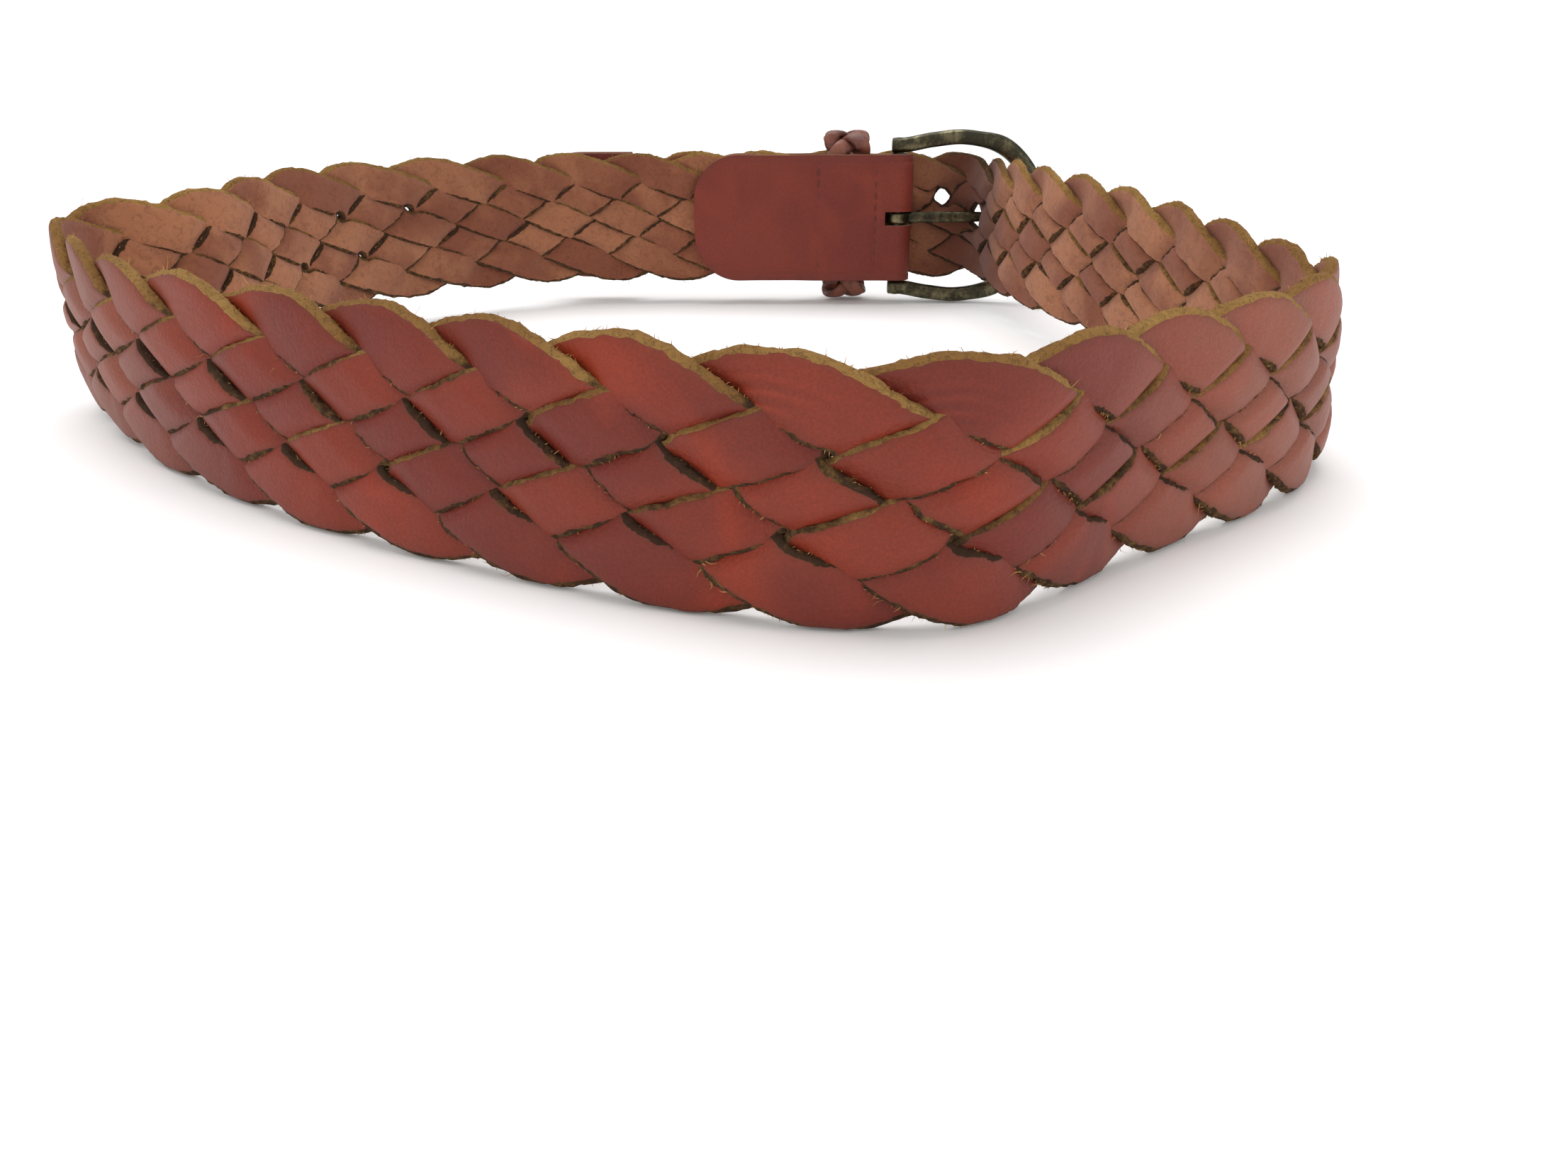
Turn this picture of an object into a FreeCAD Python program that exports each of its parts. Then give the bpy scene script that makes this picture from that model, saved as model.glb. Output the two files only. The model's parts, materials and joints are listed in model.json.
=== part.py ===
import FreeCAD, Part
import math
import os

"""Plaited leather belt, buckled into a loop and standing on its lower edge.

Units are millimetres.  +Z is up and +Y is the buckle side of the loop.
Around the loop, s runs along the strap, h up across it and n out of its outer face.
"""

# ---------------------------------------------------------------- driving sizes
LOOP_WIDTH = 275.0          # across the standing loop, left to right
LOOP_DEPTH = 268.0          # front to back

STRAP_WIDTH = 39.4          # scallop to scallop
LACE_COUNT = 6
LACE_THICKNESS = 1.6
LACE_GAP = 0.50             # between laces that cross
LACE_SIDE_GAP = 3.2         # between laces side by side
SCALLOP_PITCH = 22.5        # along the strap, where it is neither drawn out nor closed up
SCALLOP_ROUNDNESS = 0.92    # 0 is a sine wave, 1 is a sharp zigzag
SCALLOP_SKEW = 0.6          # lead of the top scallops over the bottom ones, in pitches
PRONG_HOLE_RADIUS = 5.6     # laces parted round the prong
FREE_END = 118.0            # from the bar to the end of the tip

TAB_LENGTH = 67.0
TAB_LEATHER = 2.0
TAB_CORNER = 14.0
SLOT_PAST_EYE = 0.6         # slot for the prong, beyond its eye
SLOT_CLEARANCE = 0.4        # each side of the prong
BAR_SEAM = 7.7              # stitched row, from the bar
KEEPER_PLAY = 1.85          # each side of the keeper, to the seams that hold it

ROD = 4.6                   # buckle frame, round section
FRAME_REACH = 45.0          # bar to the middle of the far bow
HEEL_FLARE = (0.24, 1.7)     # of reach, and beyond the heel
BOW = [(0.46, 1.0), (0.74, 0.87), (0.935, 0.52)]       # of reach and half height
FRAME_SPREAD = 2.5          # widening of the bow past the heels
HEEL_GAP = 0.4              # between a heel and the edge of the tab
EYE_RADIUS = 2.7
BAR_RADIUS = 2.4
BAR_FIT = 0.09              # radial, in the fold of the tab
PIN_RADIUS = 1.2
PIN_FIT = 0.02              # radial, in the drilled heels
PRONG_WIDTH = 3.6
PRONG_DEPTH = 2.8
PRONG_EYE = 3.9
PRONG_FIT = 0.08            # radial, on the bar
PRONG_PAST_BOW = 1.5
PRONG_TAPER = 0.55          # of its length, where the taper starts
PRONG_REST = 0.15           # between the prong and the far bow

KEEPER_WIDTH = 15.0
KEEPER_SLACK = 0.4          # more room outside than at the edges
KEEPER_ROOM = 4.6           # ring centre line, past each edge of the strap
KEEPER_CORNER = 4.6
KEEPER_TURNS = 5            # plait repeats round the ring
THONG_COUNT = 3
THONG_WIDTH = 3.2
THONG_THICKNESS = 1.1
THONG_GAP = 0.4             # between thongs that cross

TIP_LENGTH = 30.0
TIP_LEATHER = 1.6
TIP_CORNER = 12.0
TIP_SEAM = 9.0              # from the end of the tip
TIP_CLEARANCE = 0.45        # between a tip leaf and the plait

THREAD = 0.8
STITCH = 3.6
SEAM_MARGIN = 3.0           # seam to the edge of the leather
LAYER_GAP = 1.05            # between the tab and the free end over it

# ------------------------------------------------------------- derived places
LEVEL = (LACE_THICKNESS + LACE_GAP) / 2         # of a lace's middle when over or under
HALF_PLAIT = LEVEL + LACE_THICKNESS / 2
TAB_GAP = 2 * (BAR_RADIUS + BAR_FIT)            # between the two leaves
TAB_DEPTH = TAB_GAP / 2 + TAB_LEATHER
OUTER_LAYER = TAB_DEPTH + LAYER_GAP + HALF_PLAIT    # middle of the free end
KEEPER_DEPTH = OUTER_LAYER + KEEPER_ROOM + KEEPER_SLACK  # ring centre line, inside to outside
KEEPER_SEAM = BAR_SEAM + KEEPER_WIDTH + 2 * KEEPER_PLAY
HEEL_HALF_HEIGHT = STRAP_WIDTH / 2 + HEEL_GAP + ROD / 2
FRAME_HALF_HEIGHT = HEEL_HALF_HEIGHT + FRAME_SPREAD
BUCKLE_LIFT = FRAME_HALF_HEIGHT + ROD / 2 - STRAP_WIDTH / 2     # the bow stands on the ground
BAR_X = 0.2388 * LOOP_WIDTH
BAR_Y = 0.4495 * LOOP_DEPTH
MID_Z = STRAP_WIDTH / 2
BACK_Z = MID_Z + BUCKLE_LIFT

# loop as fractions of its width and depth, with the lean of the strap in degrees
LOOP = [(-0.253, 0.408, 0), (-0.360, 0.298, 0), (-0.408, 0.166, 0), (-0.418, 0.062, 1),
        (-0.517, 0.005, 1), (-0.457, -0.091, -1), (-0.350, -0.214, 0), (-0.220, -0.318, 6),
        (-0.056, -0.413, 7), (0.081, -0.482, 0), (0.201, -0.510, -3), (0.286, -0.405, -2),
        (0.420, -0.312, 0), (0.492, -0.206, 5), (0.484, -0.150, 6), (0.449, 0.012, 7)]
# the two ends, in millimetres from the bar
INSIDE_TAB = [(-13, 0, 0), (-29, 0, 0), (-45, 0, 0), (-62, 0, 0), (-84, 0, 0), (-106, 0, 0)]
APPROACH = [(36, -62, 5), (31, -28, 2), (29.5, -12, 0), (29, 3, 0)]
OUTSIDE_TAB = [(20, 1.3, 0), (5, 1.08, 0), (-10, 1, 0), (-30, 1, 0), (-50, 1, 0),
               (-70, 1, 0), (-90, 1, 0), (-106, 1, 0), (-122, 1, 0)]
# how far the plait is drawn along the strap, at equal steps back from the prong hole
DRAW_STEP = 60.0
DRAWN = [0.0, -0.5, 3.7, 9.8, 10.9, 10.7, 8.0, 4.4, -7.3, -9.5, 1.5, -3.0, -2.4, -2.8]


def control_points():
    """Control points (x, y, lean) of the strap, from the tab round to the free end."""
    points = [(BAR_X + t, BAR_Y + n, lean) for t, n, lean in INSIDE_TAB]
    points += [(x * LOOP_WIDTH, y * LOOP_DEPTH, lean) for x, y, lean in LOOP]
    points += [(BAR_X + t, BAR_Y + n, lean) for t, n, lean in APPROACH]
    points += [(BAR_X + t, BAR_Y + n * OUTER_LAYER, lean) for t, n, lean in OUTSIDE_TAB]
    return points


def blend(value):
    """Smooth step from 0 to 1."""
    value = min(max(value, 0.0), 1.0)
    return value * value * (3 - 2 * value)


class Strap:
    """The strap's centre line in plan, measured from the prong hole."""

    def __init__(self, steps=24):
        points = control_points()
        self.rows = []
        for k in range(len(points) - 3):
            last = k == len(points) - 4
            for j in range(steps + 1 if last else steps):
                u = j / steps
                weights = ((1 - u) ** 3 / 6, (3 * u ** 3 - 6 * u ** 2 + 4) / 6,
                           (-3 * u ** 3 + 3 * u ** 2 + 3 * u + 1) / 6, u ** 3 / 6)
                self.rows.append([sum(w * p[c] for w, p in zip(weights, points[k:k + 4]))
                                  for c in range(3)])
        self.s = [0.0]
        for a, b in zip(self.rows, self.rows[1:]):
            self.s.append(self.s[-1] + math.hypot(b[0] - a[0], b[1] - a[1]))
        hole = self.hole_place()
        self.s = [value - hole for value in self.s]
        self.start = self.s[0]
        self.end = self.s[-1]

    def hole_place(self):
        """Length along the strap at which it crosses the line of the prong."""
        for k in range(len(self.rows) - 1, 0, -1):
            x, y, _ = self.rows[k]
            t = x - BAR_X
            if 10 < t < FRAME_REACH and y - BAR_Y < prong_line(t):
                return self.s[k]
        raise ValueError("the strap misses the prong")

    def place(self, s):
        """Centre, tangent and lean at s."""
        low, high = 0, len(self.s) - 1
        while high - low > 1:
            mid = (low + high) // 2
            if self.s[mid] <= s:
                low = mid
            else:
                high = mid
        part = (s - self.s[low]) / (self.s[high] - self.s[low])
        x, y, lean = [a + part * (b - a) for a, b in zip(self.rows[low], self.rows[high])]
        before = self.rows[max(low - 1, 0)]
        after = self.rows[min(high + 1, len(self.rows) - 1)]
        along = FreeCAD.Vector(after[0] - before[0], after[1] - before[1], 0).normalize()
        return FreeCAD.Vector(x, y, 0), along, math.radians(lean)

    def point(self, s, h, n):
        """The point h above and n outside the centre line at s."""
        centre, along, lean = self.place(s)
        out = FreeCAD.Vector(along.y, -along.x, 0)
        up = FreeCAD.Vector(0, 0, 1)
        lift = BUCKLE_LIFT * blend(centre.y / BAR_Y + 0.5)
        middle = centre + up * (MID_Z + lift)
        across = up * math.cos(lean) - out * math.sin(lean)
        outward = out * math.cos(lean) + up * math.sin(lean)
        return middle + across * h + outward * n


def prong_line(t):
    """Outward offset of the prong's middle at distance t from the bar."""
    return t / FRAME_REACH * (ROD / 2 + PRONG_REST + PRONG_DEPTH / 2)


# corners of a flat lace: side, then face, left to right over the top and back underneath
CORNERS = ((1, 1), (0, 1), (-1, 1), (-1, -1), (0, -1), (1, -1))


def closed_solid(sections, ring=False):
    """Solid with flat triangular faces through a list of sections, corner by corner."""
    faces = []
    sides = len(sections[0])

    def add(a, b, c):
        faces.append(Part.Face(Part.makePolygon([a, b, c, a])))

    count = len(sections)
    for k in range(count if ring else count - 1):
        one = sections[k]
        two = sections[(k + 1) % count]
        for j in range(sides):
            i = (j + 1) % sides
            add(one[j], two[j], two[i])
            add(one[j], two[i], one[i])
    if not ring:
        first, last = sections[0], sections[-1]
        for j in range(sides // 2 - 1):
            low, high = j + 1, sides - 1 - j
            add(first[j], first[low], first[high])
            add(last[j], last[high], last[low])
            if low + 1 < high:
                add(first[low], first[high - 1], first[high])
                add(last[low], last[high], last[high - 1])
    shell = Part.Shell(faces)
    shell.sewShape()
    solid = Part.Solid(shell)
    if solid.Volume < 0:
        solid.reverse()
    return solid


# ---------------------------------------------------------------- plaited strap
PERIOD = LACE_COUNT                       # in scallop pitches
TRAVERSE = LACE_COUNT / 2
EDGE_CLIMB = (-0.27, 0.05)                # where a lace climbs or dives at a scallop
EDGE_FLAT = 0.25                          # flat past the crossing next to a scallop
EDGE_RUN = 1.2                            # flat past the edge of the lace it crosses


def lace_width_and_swing():
    """Width of a lace that leaves the side gap, and swing of its middle to that width."""
    width = STRAP_WIDTH / LACE_COUNT
    for _ in range(30):
        swing = (STRAP_WIDTH - width) / 2
        steepest = swing * SCALLOP_ROUNDNESS * math.pi / (math.asin(SCALLOP_ROUNDNESS) * TRAVERSE)
        run = SCALLOP_PITCH + SCALLOP_SKEW / 2 / swing * SCALLOP_PITCH * steepest
        width = SCALLOP_PITCH * steepest / math.hypot(run, steepest) - LACE_SIDE_GAP
    return width, swing


LACE_WIDTH, SWING = lace_width_and_swing()


def drawn(s):
    """Place along the strap of the even plait's s, once drawn out or closed up."""
    steps = min(max(-s / DRAW_STEP, 0.0), len(DRAWN) - 1.0)
    k = min(int(steps), len(DRAWN) - 2)
    u = steps - k
    before = DRAWN[max(k - 1, 0)]
    after = DRAWN[min(k + 2, len(DRAWN) - 1)]
    left, right = DRAWN[k], DRAWN[k + 1]
    slope_left, slope_right = (right - before) / 2, (after - left) / 2
    return (s + left * (2 * u ** 3 - 3 * u ** 2 + 1) + slope_left * (u ** 3 - 2 * u ** 2 + u)
            + right * (3 * u ** 2 - 2 * u ** 3) + slope_right * (u ** 3 - u ** 2))


def lace_height(u):
    """Height of a lace's middle, and its slope, at phase u in pitches."""
    angle = math.pi * u / TRAVERSE
    limit = math.asin(SCALLOP_ROUNDNESS)
    bend = math.sqrt(1 - (SCALLOP_ROUNDNESS * math.cos(angle)) ** 2)
    height = SWING * math.asin(SCALLOP_ROUNDNESS * math.cos(angle)) / limit
    slope = -SWING * SCALLOP_ROUNDNESS * math.sin(angle) * math.pi / (limit * bend * TRAVERSE)
    return height, slope


def flat_half_length():
    """Half the length, in pitches, for which a lace lies level at a crossing."""
    rise = abs(lace_height(TRAVERSE / 2)[1]) / SCALLOP_PITCH
    length = (LACE_WIDTH / 2 + EDGE_RUN) / math.sin(2 * math.atan(rise))
    return min(length / (SCALLOP_PITCH * math.hypot(1, rise)), 0.22)


def level_stations():
    """(phase, level) pairs over one full period: +1 is over, -1 is under."""
    flat = flat_half_length()
    last = LACE_COUNT - 1
    stations = []
    for side in (0, 1):
        base = side * TRAVERSE
        start, stop = EDGE_CLIMB if side == 0 else (-EDGE_CLIMB[1], -EDGE_CLIMB[0])
        begin = base + stop
        start, stop = EDGE_CLIMB if side == 1 else (-EDGE_CLIMB[1], -EDGE_CLIMB[0])
        end = base + TRAVERSE + start
        for k in range(1, last + 1):
            centre = base + k / 2
            level = 1 if k % 2 != side else -1
            low = centre - flat
            high = centre + flat
            if k == 1:
                low, high = begin, centre + EDGE_FLAT
            if k == last:
                low, high = centre - EDGE_FLAT, end
            steps = max(2, round((high - low) / 0.12))
            stations += [(low + (high - low) * j / steps, level) for j in range(steps + 1)]
    return sorted(stations)


def parted(s, h):
    """Move a point of the strap away from the prong hole."""
    distance = math.hypot(s, h)
    if distance < 1e-6 or distance > 25:
        return s, h
    scale = (distance ** 3 + PRONG_HOLE_RADIUS ** 3) ** (1 / 3) / distance
    return s * scale, h * scale


def lace_section(strap, phase, level, number):
    """The four corners of a lace where its middle has the given phase."""
    height, slope = lace_height(phase)
    skew = SCALLOP_SKEW / 2 / SWING * SCALLOP_PITCH
    steepest = lace_height(TRAVERSE / 2)[1]
    along = FreeCAD.Vector(SCALLOP_PITCH + skew * slope, slope, 0)
    along.normalize()
    left = FreeCAD.Vector(-along.y, along.x, 0)
    down = FreeCAD.Vector(SCALLOP_PITCH + skew * steepest, steepest, 0)
    rise = FreeCAD.Vector(SCALLOP_PITCH - skew * steepest, -steepest, 0)
    lean = slope / steepest / math.tan(down.getAngle(rise))
    middle = FreeCAD.Vector((phase + number) * SCALLOP_PITCH + skew * height, height, 0)
    corners = []
    for side, face in CORNERS:
        offset = side * LACE_WIDTH / 2
        spot = middle + left * offset + along * (offset * lean)
        s, h = parted(drawn(spot.x), spot.y)
        s = min(max(s, strap.start), strap.end - TIP_LENGTH / 2)
        corners.append(strap.point(s, h, level * LEVEL + face * LACE_THICKNESS / 2))
    return corners, drawn(middle.x)


def lace(strap, number):
    """One lace of the plait, from end to end."""
    sections = []
    pattern = level_stations()
    first = int(strap.start / SCALLOP_PITCH / PERIOD) - 2
    last = int(strap.end / SCALLOP_PITCH / PERIOD) + 2
    spare = LACE_WIDTH
    for turn in range(first, last + 1):
        for phase, level in pattern:
            corners, s = lace_section(strap, phase + turn * PERIOD, level, number)
            if strap.start + spare < s < strap.end - TIP_LENGTH / 2 - spare:
                sections.append(corners)
    return closed_solid(sections)


# ------------------------------------------------------------------------ keeper
def ring_point(length, across, out, perimeter):
    """A point on the keeper ring, length measured round from the bottom."""
    corner = KEEPER_CORNER
    wide = KEEPER_DEPTH / 2 - corner
    tall = STRAP_WIDTH / 2 + KEEPER_ROOM - corner
    arc = math.pi * corner / 2
    runs = [(2 * wide, 0), (arc, 1), (2 * tall, 0), (arc, 1)] * 2
    length = length % perimeter
    y, z, angle = -wide, -tall - corner, 0.0
    for size, bend in runs:
        step = min(length, size)
        if bend:
            turn = step / corner
            y += corner * (math.sin(angle + turn) - math.sin(angle))
            z += corner * (math.cos(angle) - math.cos(angle + turn))
            angle += turn
        else:
            y += step * math.cos(angle)
            z += step * math.sin(angle)
        length -= step
        if length <= 0:
            break
    normal = FreeCAD.Vector(0, math.sin(angle), -math.cos(angle))
    middle_of_seams = (BAR_SEAM + KEEPER_SEAM) / 2
    middle = FreeCAD.Vector(BAR_X - middle_of_seams + across, BAR_Y + KEEPER_DEPTH / 2 + y, BACK_Z + z)
    return middle + normal * out


def thong(number):
    """One of the three thongs plaited into the keeper ring."""
    height = STRAP_WIDTH + 2 * KEEPER_ROOM
    straight = 2 * (KEEPER_DEPTH + height - 4 * KEEPER_CORNER)
    perimeter = straight + 2 * math.pi * KEEPER_CORNER
    pitch = perimeter / KEEPER_TURNS
    swing = (KEEPER_WIDTH - THONG_WIDTH) / 2
    level = THONG_THICKNESS + THONG_GAP / 2
    steps = 20
    sections = []
    for k in range(steps * KEEPER_TURNS):
        u = k / steps
        angle = 2 * math.pi * (u + number / THONG_COUNT)
        across = swing * math.sin(angle)
        wave = math.sin(2 * angle)
        out = level * wave / math.sqrt(0.25 + 0.75 * wave * wave)
        slope = swing * math.cos(angle) * 2 * math.pi / pitch
        size = math.hypot(1, slope)
        section = []
        for side, face in CORNERS:
            offset = side * THONG_WIDTH / 2
            place = u * pitch - offset * slope / size
            section.append(ring_point(place, across + offset / size,
                                      out + face * THONG_THICKNESS / 2, perimeter))
        sections.append(section)
    return closed_solid(sections, ring=True)


# ------------------------------------------------------------------- flat leather
def plate(t_low, t_high, half, corner, n_low, n_high):
    """Flat leaf along the back of the loop with round corners at its t_low end."""
    low, high = BAR_X + t_low, BAR_X + t_high
    box = Part.makeBox(high - low, n_high - n_low, 2 * half,
                       FreeCAD.Vector(low, BAR_Y + n_low, BACK_Z - half))
    wanted = [edge for edge in box.Edges
              if edge.BoundBox.XMax < low + 0.01 and edge.BoundBox.YLength > 0.5
              and edge.BoundBox.ZLength < 0.01]
    return box.makeFillet(corner, wanted)


def thread_row(t, n_middle, half_depth, half_height):
    """Stitches up a seam: a leg through each hole and a run on both faces between them."""
    count = int(2 * half_height / STITCH)
    leg = THREAD * 0.8
    face = half_depth + THREAD / 2 + 0.02
    x = BAR_X - t
    y = BAR_Y + n_middle
    bottom = BACK_Z - count * STITCH / 2
    pieces = []
    for side in (-1, 1):
        corner = FreeCAD.Vector(x - THREAD / 2, y + side * face - THREAD / 2, bottom - leg)
        pieces.append(Part.makeBox(THREAD, THREAD, count * STITCH + 2 * leg, corner))
    holes = []
    for k in range(count + 1):
        corner = FreeCAD.Vector(x - leg / 2, y - face, bottom + k * STITCH - leg / 2)
        pieces.append(Part.makeBox(leg, 2 * face, leg, corner))
        start = FreeCAD.Vector(x, y - face - 1, bottom + k * STITCH)
        holes.append(Part.makeCylinder(THREAD * 0.65, 2 * face + 2, start, FreeCAD.Vector(0, 1, 0)))
    row = pieces[0].fuse(pieces[1:])
    return row.removeSplitter(), holes


def folded_tab(holes):
    """Leather folded round the bar, its two leaves slotted for the prong."""
    inner = TAB_GAP / 2
    outer = TAB_DEPTH
    half = STRAP_WIDTH / 2
    slot_length = PRONG_EYE + SLOT_PAST_EYE
    slot_width = PRONG_WIDTH + 2 * SLOT_CLEARANCE
    leaves = [plate(-TAB_LENGTH, 0, half, TAB_CORNER, -outer, -inner),
              plate(-TAB_LENGTH, 0, half, TAB_CORNER, inner, outer)]
    base = FreeCAD.Vector(BAR_X, BAR_Y, BACK_Z - half)
    up = FreeCAD.Vector(0, 0, 1)
    fold = Part.makeCylinder(outer, 2 * half, base, up, 180)
    fold = fold.cut(Part.makeCylinder(inner, 2 * half, base))
    fold.rotate(base, up, -90)
    tab = leaves[0].fuse([leaves[1], fold]).removeSplitter()
    slot = Part.makeBox(slot_length + outer + 1, 2 * outer + 2, slot_width,
                        FreeCAD.Vector(BAR_X - slot_length, BAR_Y - outer - 1,
                                       BACK_Z - slot_width / 2))
    return tab.cut([slot] + holes)


# ------------------------------------------------------------------------- buckle
def frame_and_bar():
    """Cast horseshoe frame with drilled heels, and the bar pinned between them."""
    half = [(0, HEEL_HALF_HEIGHT), (HEEL_FLARE[0], HEEL_HALF_HEIGHT + HEEL_FLARE[1])]
    half += [(t, z * FRAME_HALF_HEIGHT) for t, z in BOW]
    outline = half + [(1.0, 0.0)] + [(t, -z) for t, z in reversed(half)]
    spine = [FreeCAD.Vector(BAR_X + t * FRAME_REACH, BAR_Y, BACK_Z + z) for t, z in outline]
    curve = Part.BSplineCurve()
    curve.interpolate(spine)
    path = Part.Wire(curve.toShape())
    start = spine[0]
    tangent = curve.tangent(curve.FirstParameter)[0]
    profile = Part.Wire(Part.makeCircle(ROD / 2, start, tangent))
    frame = path.makePipeShell([profile], True, True)
    holes = []
    pins = []
    for sign in (-1, 1):
        middle = FreeCAD.Vector(BAR_X, BAR_Y, BACK_Z + sign * HEEL_HALF_HEIGHT)
        low = middle - FreeCAD.Vector(0, 0, ROD / 2)
        frame = frame.fuse(Part.makeCylinder(EYE_RADIUS, ROD, low))
        holes.append(Part.makeCylinder(PIN_RADIUS + PIN_FIT, ROD + 2, low - FreeCAD.Vector(0, 0, 1)))
        pins.append(Part.makeCylinder(PIN_RADIUS, ROD + 0.1, low - FreeCAD.Vector(0, 0, 0.05)))
    frame = frame.cut(holes)
    length = 2 * HEEL_HALF_HEIGHT - ROD - 0.04
    bar = Part.makeCylinder(BAR_RADIUS, length,
                            FreeCAD.Vector(BAR_X, BAR_Y, BACK_Z - length / 2))
    bar = bar.fuse(pins)
    return frame, bar.removeSplitter()


def prong():
    """Prong with an eye on the bar, tapering to a tip that rests on the far bow."""
    half = PRONG_WIDTH / 2
    base = FreeCAD.Vector(BAR_X, BAR_Y, BACK_Z - half)
    reach = FRAME_REACH + ROD / 2 + PRONG_PAST_BOW
    depth = PRONG_DEPTH / 2
    slope = prong_line(reach) / reach
    outline = [(0, -depth), (reach, prong_line(reach) - depth * 0.75),
               (reach + 0.8, prong_line(reach)), (reach, prong_line(reach) + depth * 0.75),
               (0, depth)]
    corners = [FreeCAD.Vector(BAR_X + t, BAR_Y + n, base.z) for t, n in outline]
    shank = Part.Face(Part.makePolygon(corners + corners[:1]))
    shank = shank.extrude(FreeCAD.Vector(0, 0, PRONG_WIDTH))
    eye = Part.makeCylinder(PRONG_EYE, PRONG_WIDTH, base)
    bore = Part.makeCylinder(BAR_RADIUS + PRONG_FIT, PRONG_WIDTH + 2, base - FreeCAD.Vector(0, 0, 1))
    taper = []
    for sign in (-1, 1):
        wedge = [FreeCAD.Vector(BAR_X + t, BAR_Y - 20, BACK_Z + sign * z)
                 for t, z in ((PRONG_TAPER * reach, half), (reach + 2, half * 0.5),
                              (reach + 2, half + 3), (PRONG_TAPER * reach, half + 3))]
        wedge = Part.Face(Part.makePolygon(wedge + wedge[:1]))
        taper.append(wedge.extrude(FreeCAD.Vector(0, 40, 0)))
    return shank.fuse(eye).cut([bore] + taper)


# --------------------------------------------------------------------------- build
def main():
    """Build every piece and write one STEP file for each."""
    strap = Strap()
    pieces = {}
    for number in range(LACE_COUNT):
        pieces[f"lace_{number + 1}"] = lace(strap, number)
    half = STRAP_WIDTH / 2
    bar_row, bar_holes = thread_row(BAR_SEAM, 0, TAB_DEPTH, half - SEAM_MARGIN)
    keeper_row, keeper_holes = thread_row(KEEPER_SEAM, 0, TAB_DEPTH, half - SEAM_MARGIN)
    pieces["tab"] = folded_tab(bar_holes + keeper_holes)
    pieces["seam_bar"] = bar_row
    pieces["seam_keeper"] = keeper_row
    pieces["buckle_frame"], pieces["buckle_bar"] = frame_and_bar()
    pieces["prong"] = prong()
    for number in range(THONG_COUNT):
        pieces[f"keeper_thong_{number + 1}"] = thong(number)
    inside = HALF_PLAIT + TIP_CLEARANCE
    outside = inside + TIP_LEATHER
    tip_row, tip_holes = thread_row(FREE_END - TIP_SEAM, OUTER_LAYER, outside, half - SEAM_MARGIN - 2)
    ends = (-FREE_END, -FREE_END + TIP_LENGTH, half, TIP_CORNER)
    inner_leaf = plate(*ends, OUTER_LAYER - outside, OUTER_LAYER - inside)
    outer_leaf = plate(*ends, OUTER_LAYER + inside, OUTER_LAYER + outside)
    pieces["tip_inner"] = inner_leaf.cut(tip_holes)
    pieces["tip_outer"] = outer_leaf.cut(tip_holes)
    pieces["seam_tip"] = tip_row
    os.makedirs("parts", exist_ok=True)
    for name, shape in pieces.items():
        shape.exportStep(f"parts/{name}.step")
        print(name, len(shape.Solids), shape.isValid(), round(shape.Volume, 2))


main()
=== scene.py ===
import json
import logging
import math
from dataclasses import dataclass, field
from enum import Enum
from typing import Any

import bmesh
import bpy
import numpy as np
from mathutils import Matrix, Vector


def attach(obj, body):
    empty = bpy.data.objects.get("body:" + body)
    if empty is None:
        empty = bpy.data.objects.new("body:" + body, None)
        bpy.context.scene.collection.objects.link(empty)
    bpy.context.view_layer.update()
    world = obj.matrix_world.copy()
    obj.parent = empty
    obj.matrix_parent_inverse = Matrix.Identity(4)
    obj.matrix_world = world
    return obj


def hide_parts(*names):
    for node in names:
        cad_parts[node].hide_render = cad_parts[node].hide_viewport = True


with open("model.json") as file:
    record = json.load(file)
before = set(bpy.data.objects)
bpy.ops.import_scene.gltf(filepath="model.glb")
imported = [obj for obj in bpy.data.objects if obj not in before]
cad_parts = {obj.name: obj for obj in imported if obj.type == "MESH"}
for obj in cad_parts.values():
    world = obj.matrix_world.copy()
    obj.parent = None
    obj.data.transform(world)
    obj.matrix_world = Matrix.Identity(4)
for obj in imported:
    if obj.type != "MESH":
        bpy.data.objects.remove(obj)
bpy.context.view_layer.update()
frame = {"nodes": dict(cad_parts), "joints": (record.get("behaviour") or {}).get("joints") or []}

"""Plaited leather belt, buckled into a loop and standing on its lower edge.

Sizes are in millimetres until a mesh is made.  Round the loop, s runs along the strap,
h up across it and n out of its outer face.
"""

log = logging.getLogger("belt")
MM = 0.001
Array = np.ndarray
Colour = tuple[float, float, float]
Spot = tuple[float, float, float]


class Layer(Enum):
    """The three kinds of surface on a piece of leather, in material order."""

    GRAIN = 0
    FLESH = 1
    CUT = 2


class Fibre(Enum):
    """How a loose fibre lies: (shortest, longest, share of all fibres)."""

    NAP = (0.25, 0.8, 0.84)
    STRAY = (0.7, 1.6, 0.14)
    WISP = (1.4, 3.2, 0.02)


SEEDS_PER_LACE = 100
RAGGED_SEED = 3
CLUMP_SEED = 20
FIBRE_SEED = 7


# ------------------------------------------------------------------- small tools
def wander(place: Array, seed: int, length: float) -> Array:
    """Smooth random curve from -1 to 1.

    Args:
        place: Where to read the curve.
        seed: Which curve.
        length: Distance between its random knots.

    Returns:
        The curve's value at each place.
    """
    knots = np.random.default_rng(seed).uniform(-1, 1, 1024)
    steps = np.asarray(place, float) / length
    k = np.floor(steps).astype(int)
    u = steps - k
    u = u * u * (3 - 2 * u)
    return knots[k % 1024] * (1 - u) + knots[(k + 1) % 1024] * u


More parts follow.
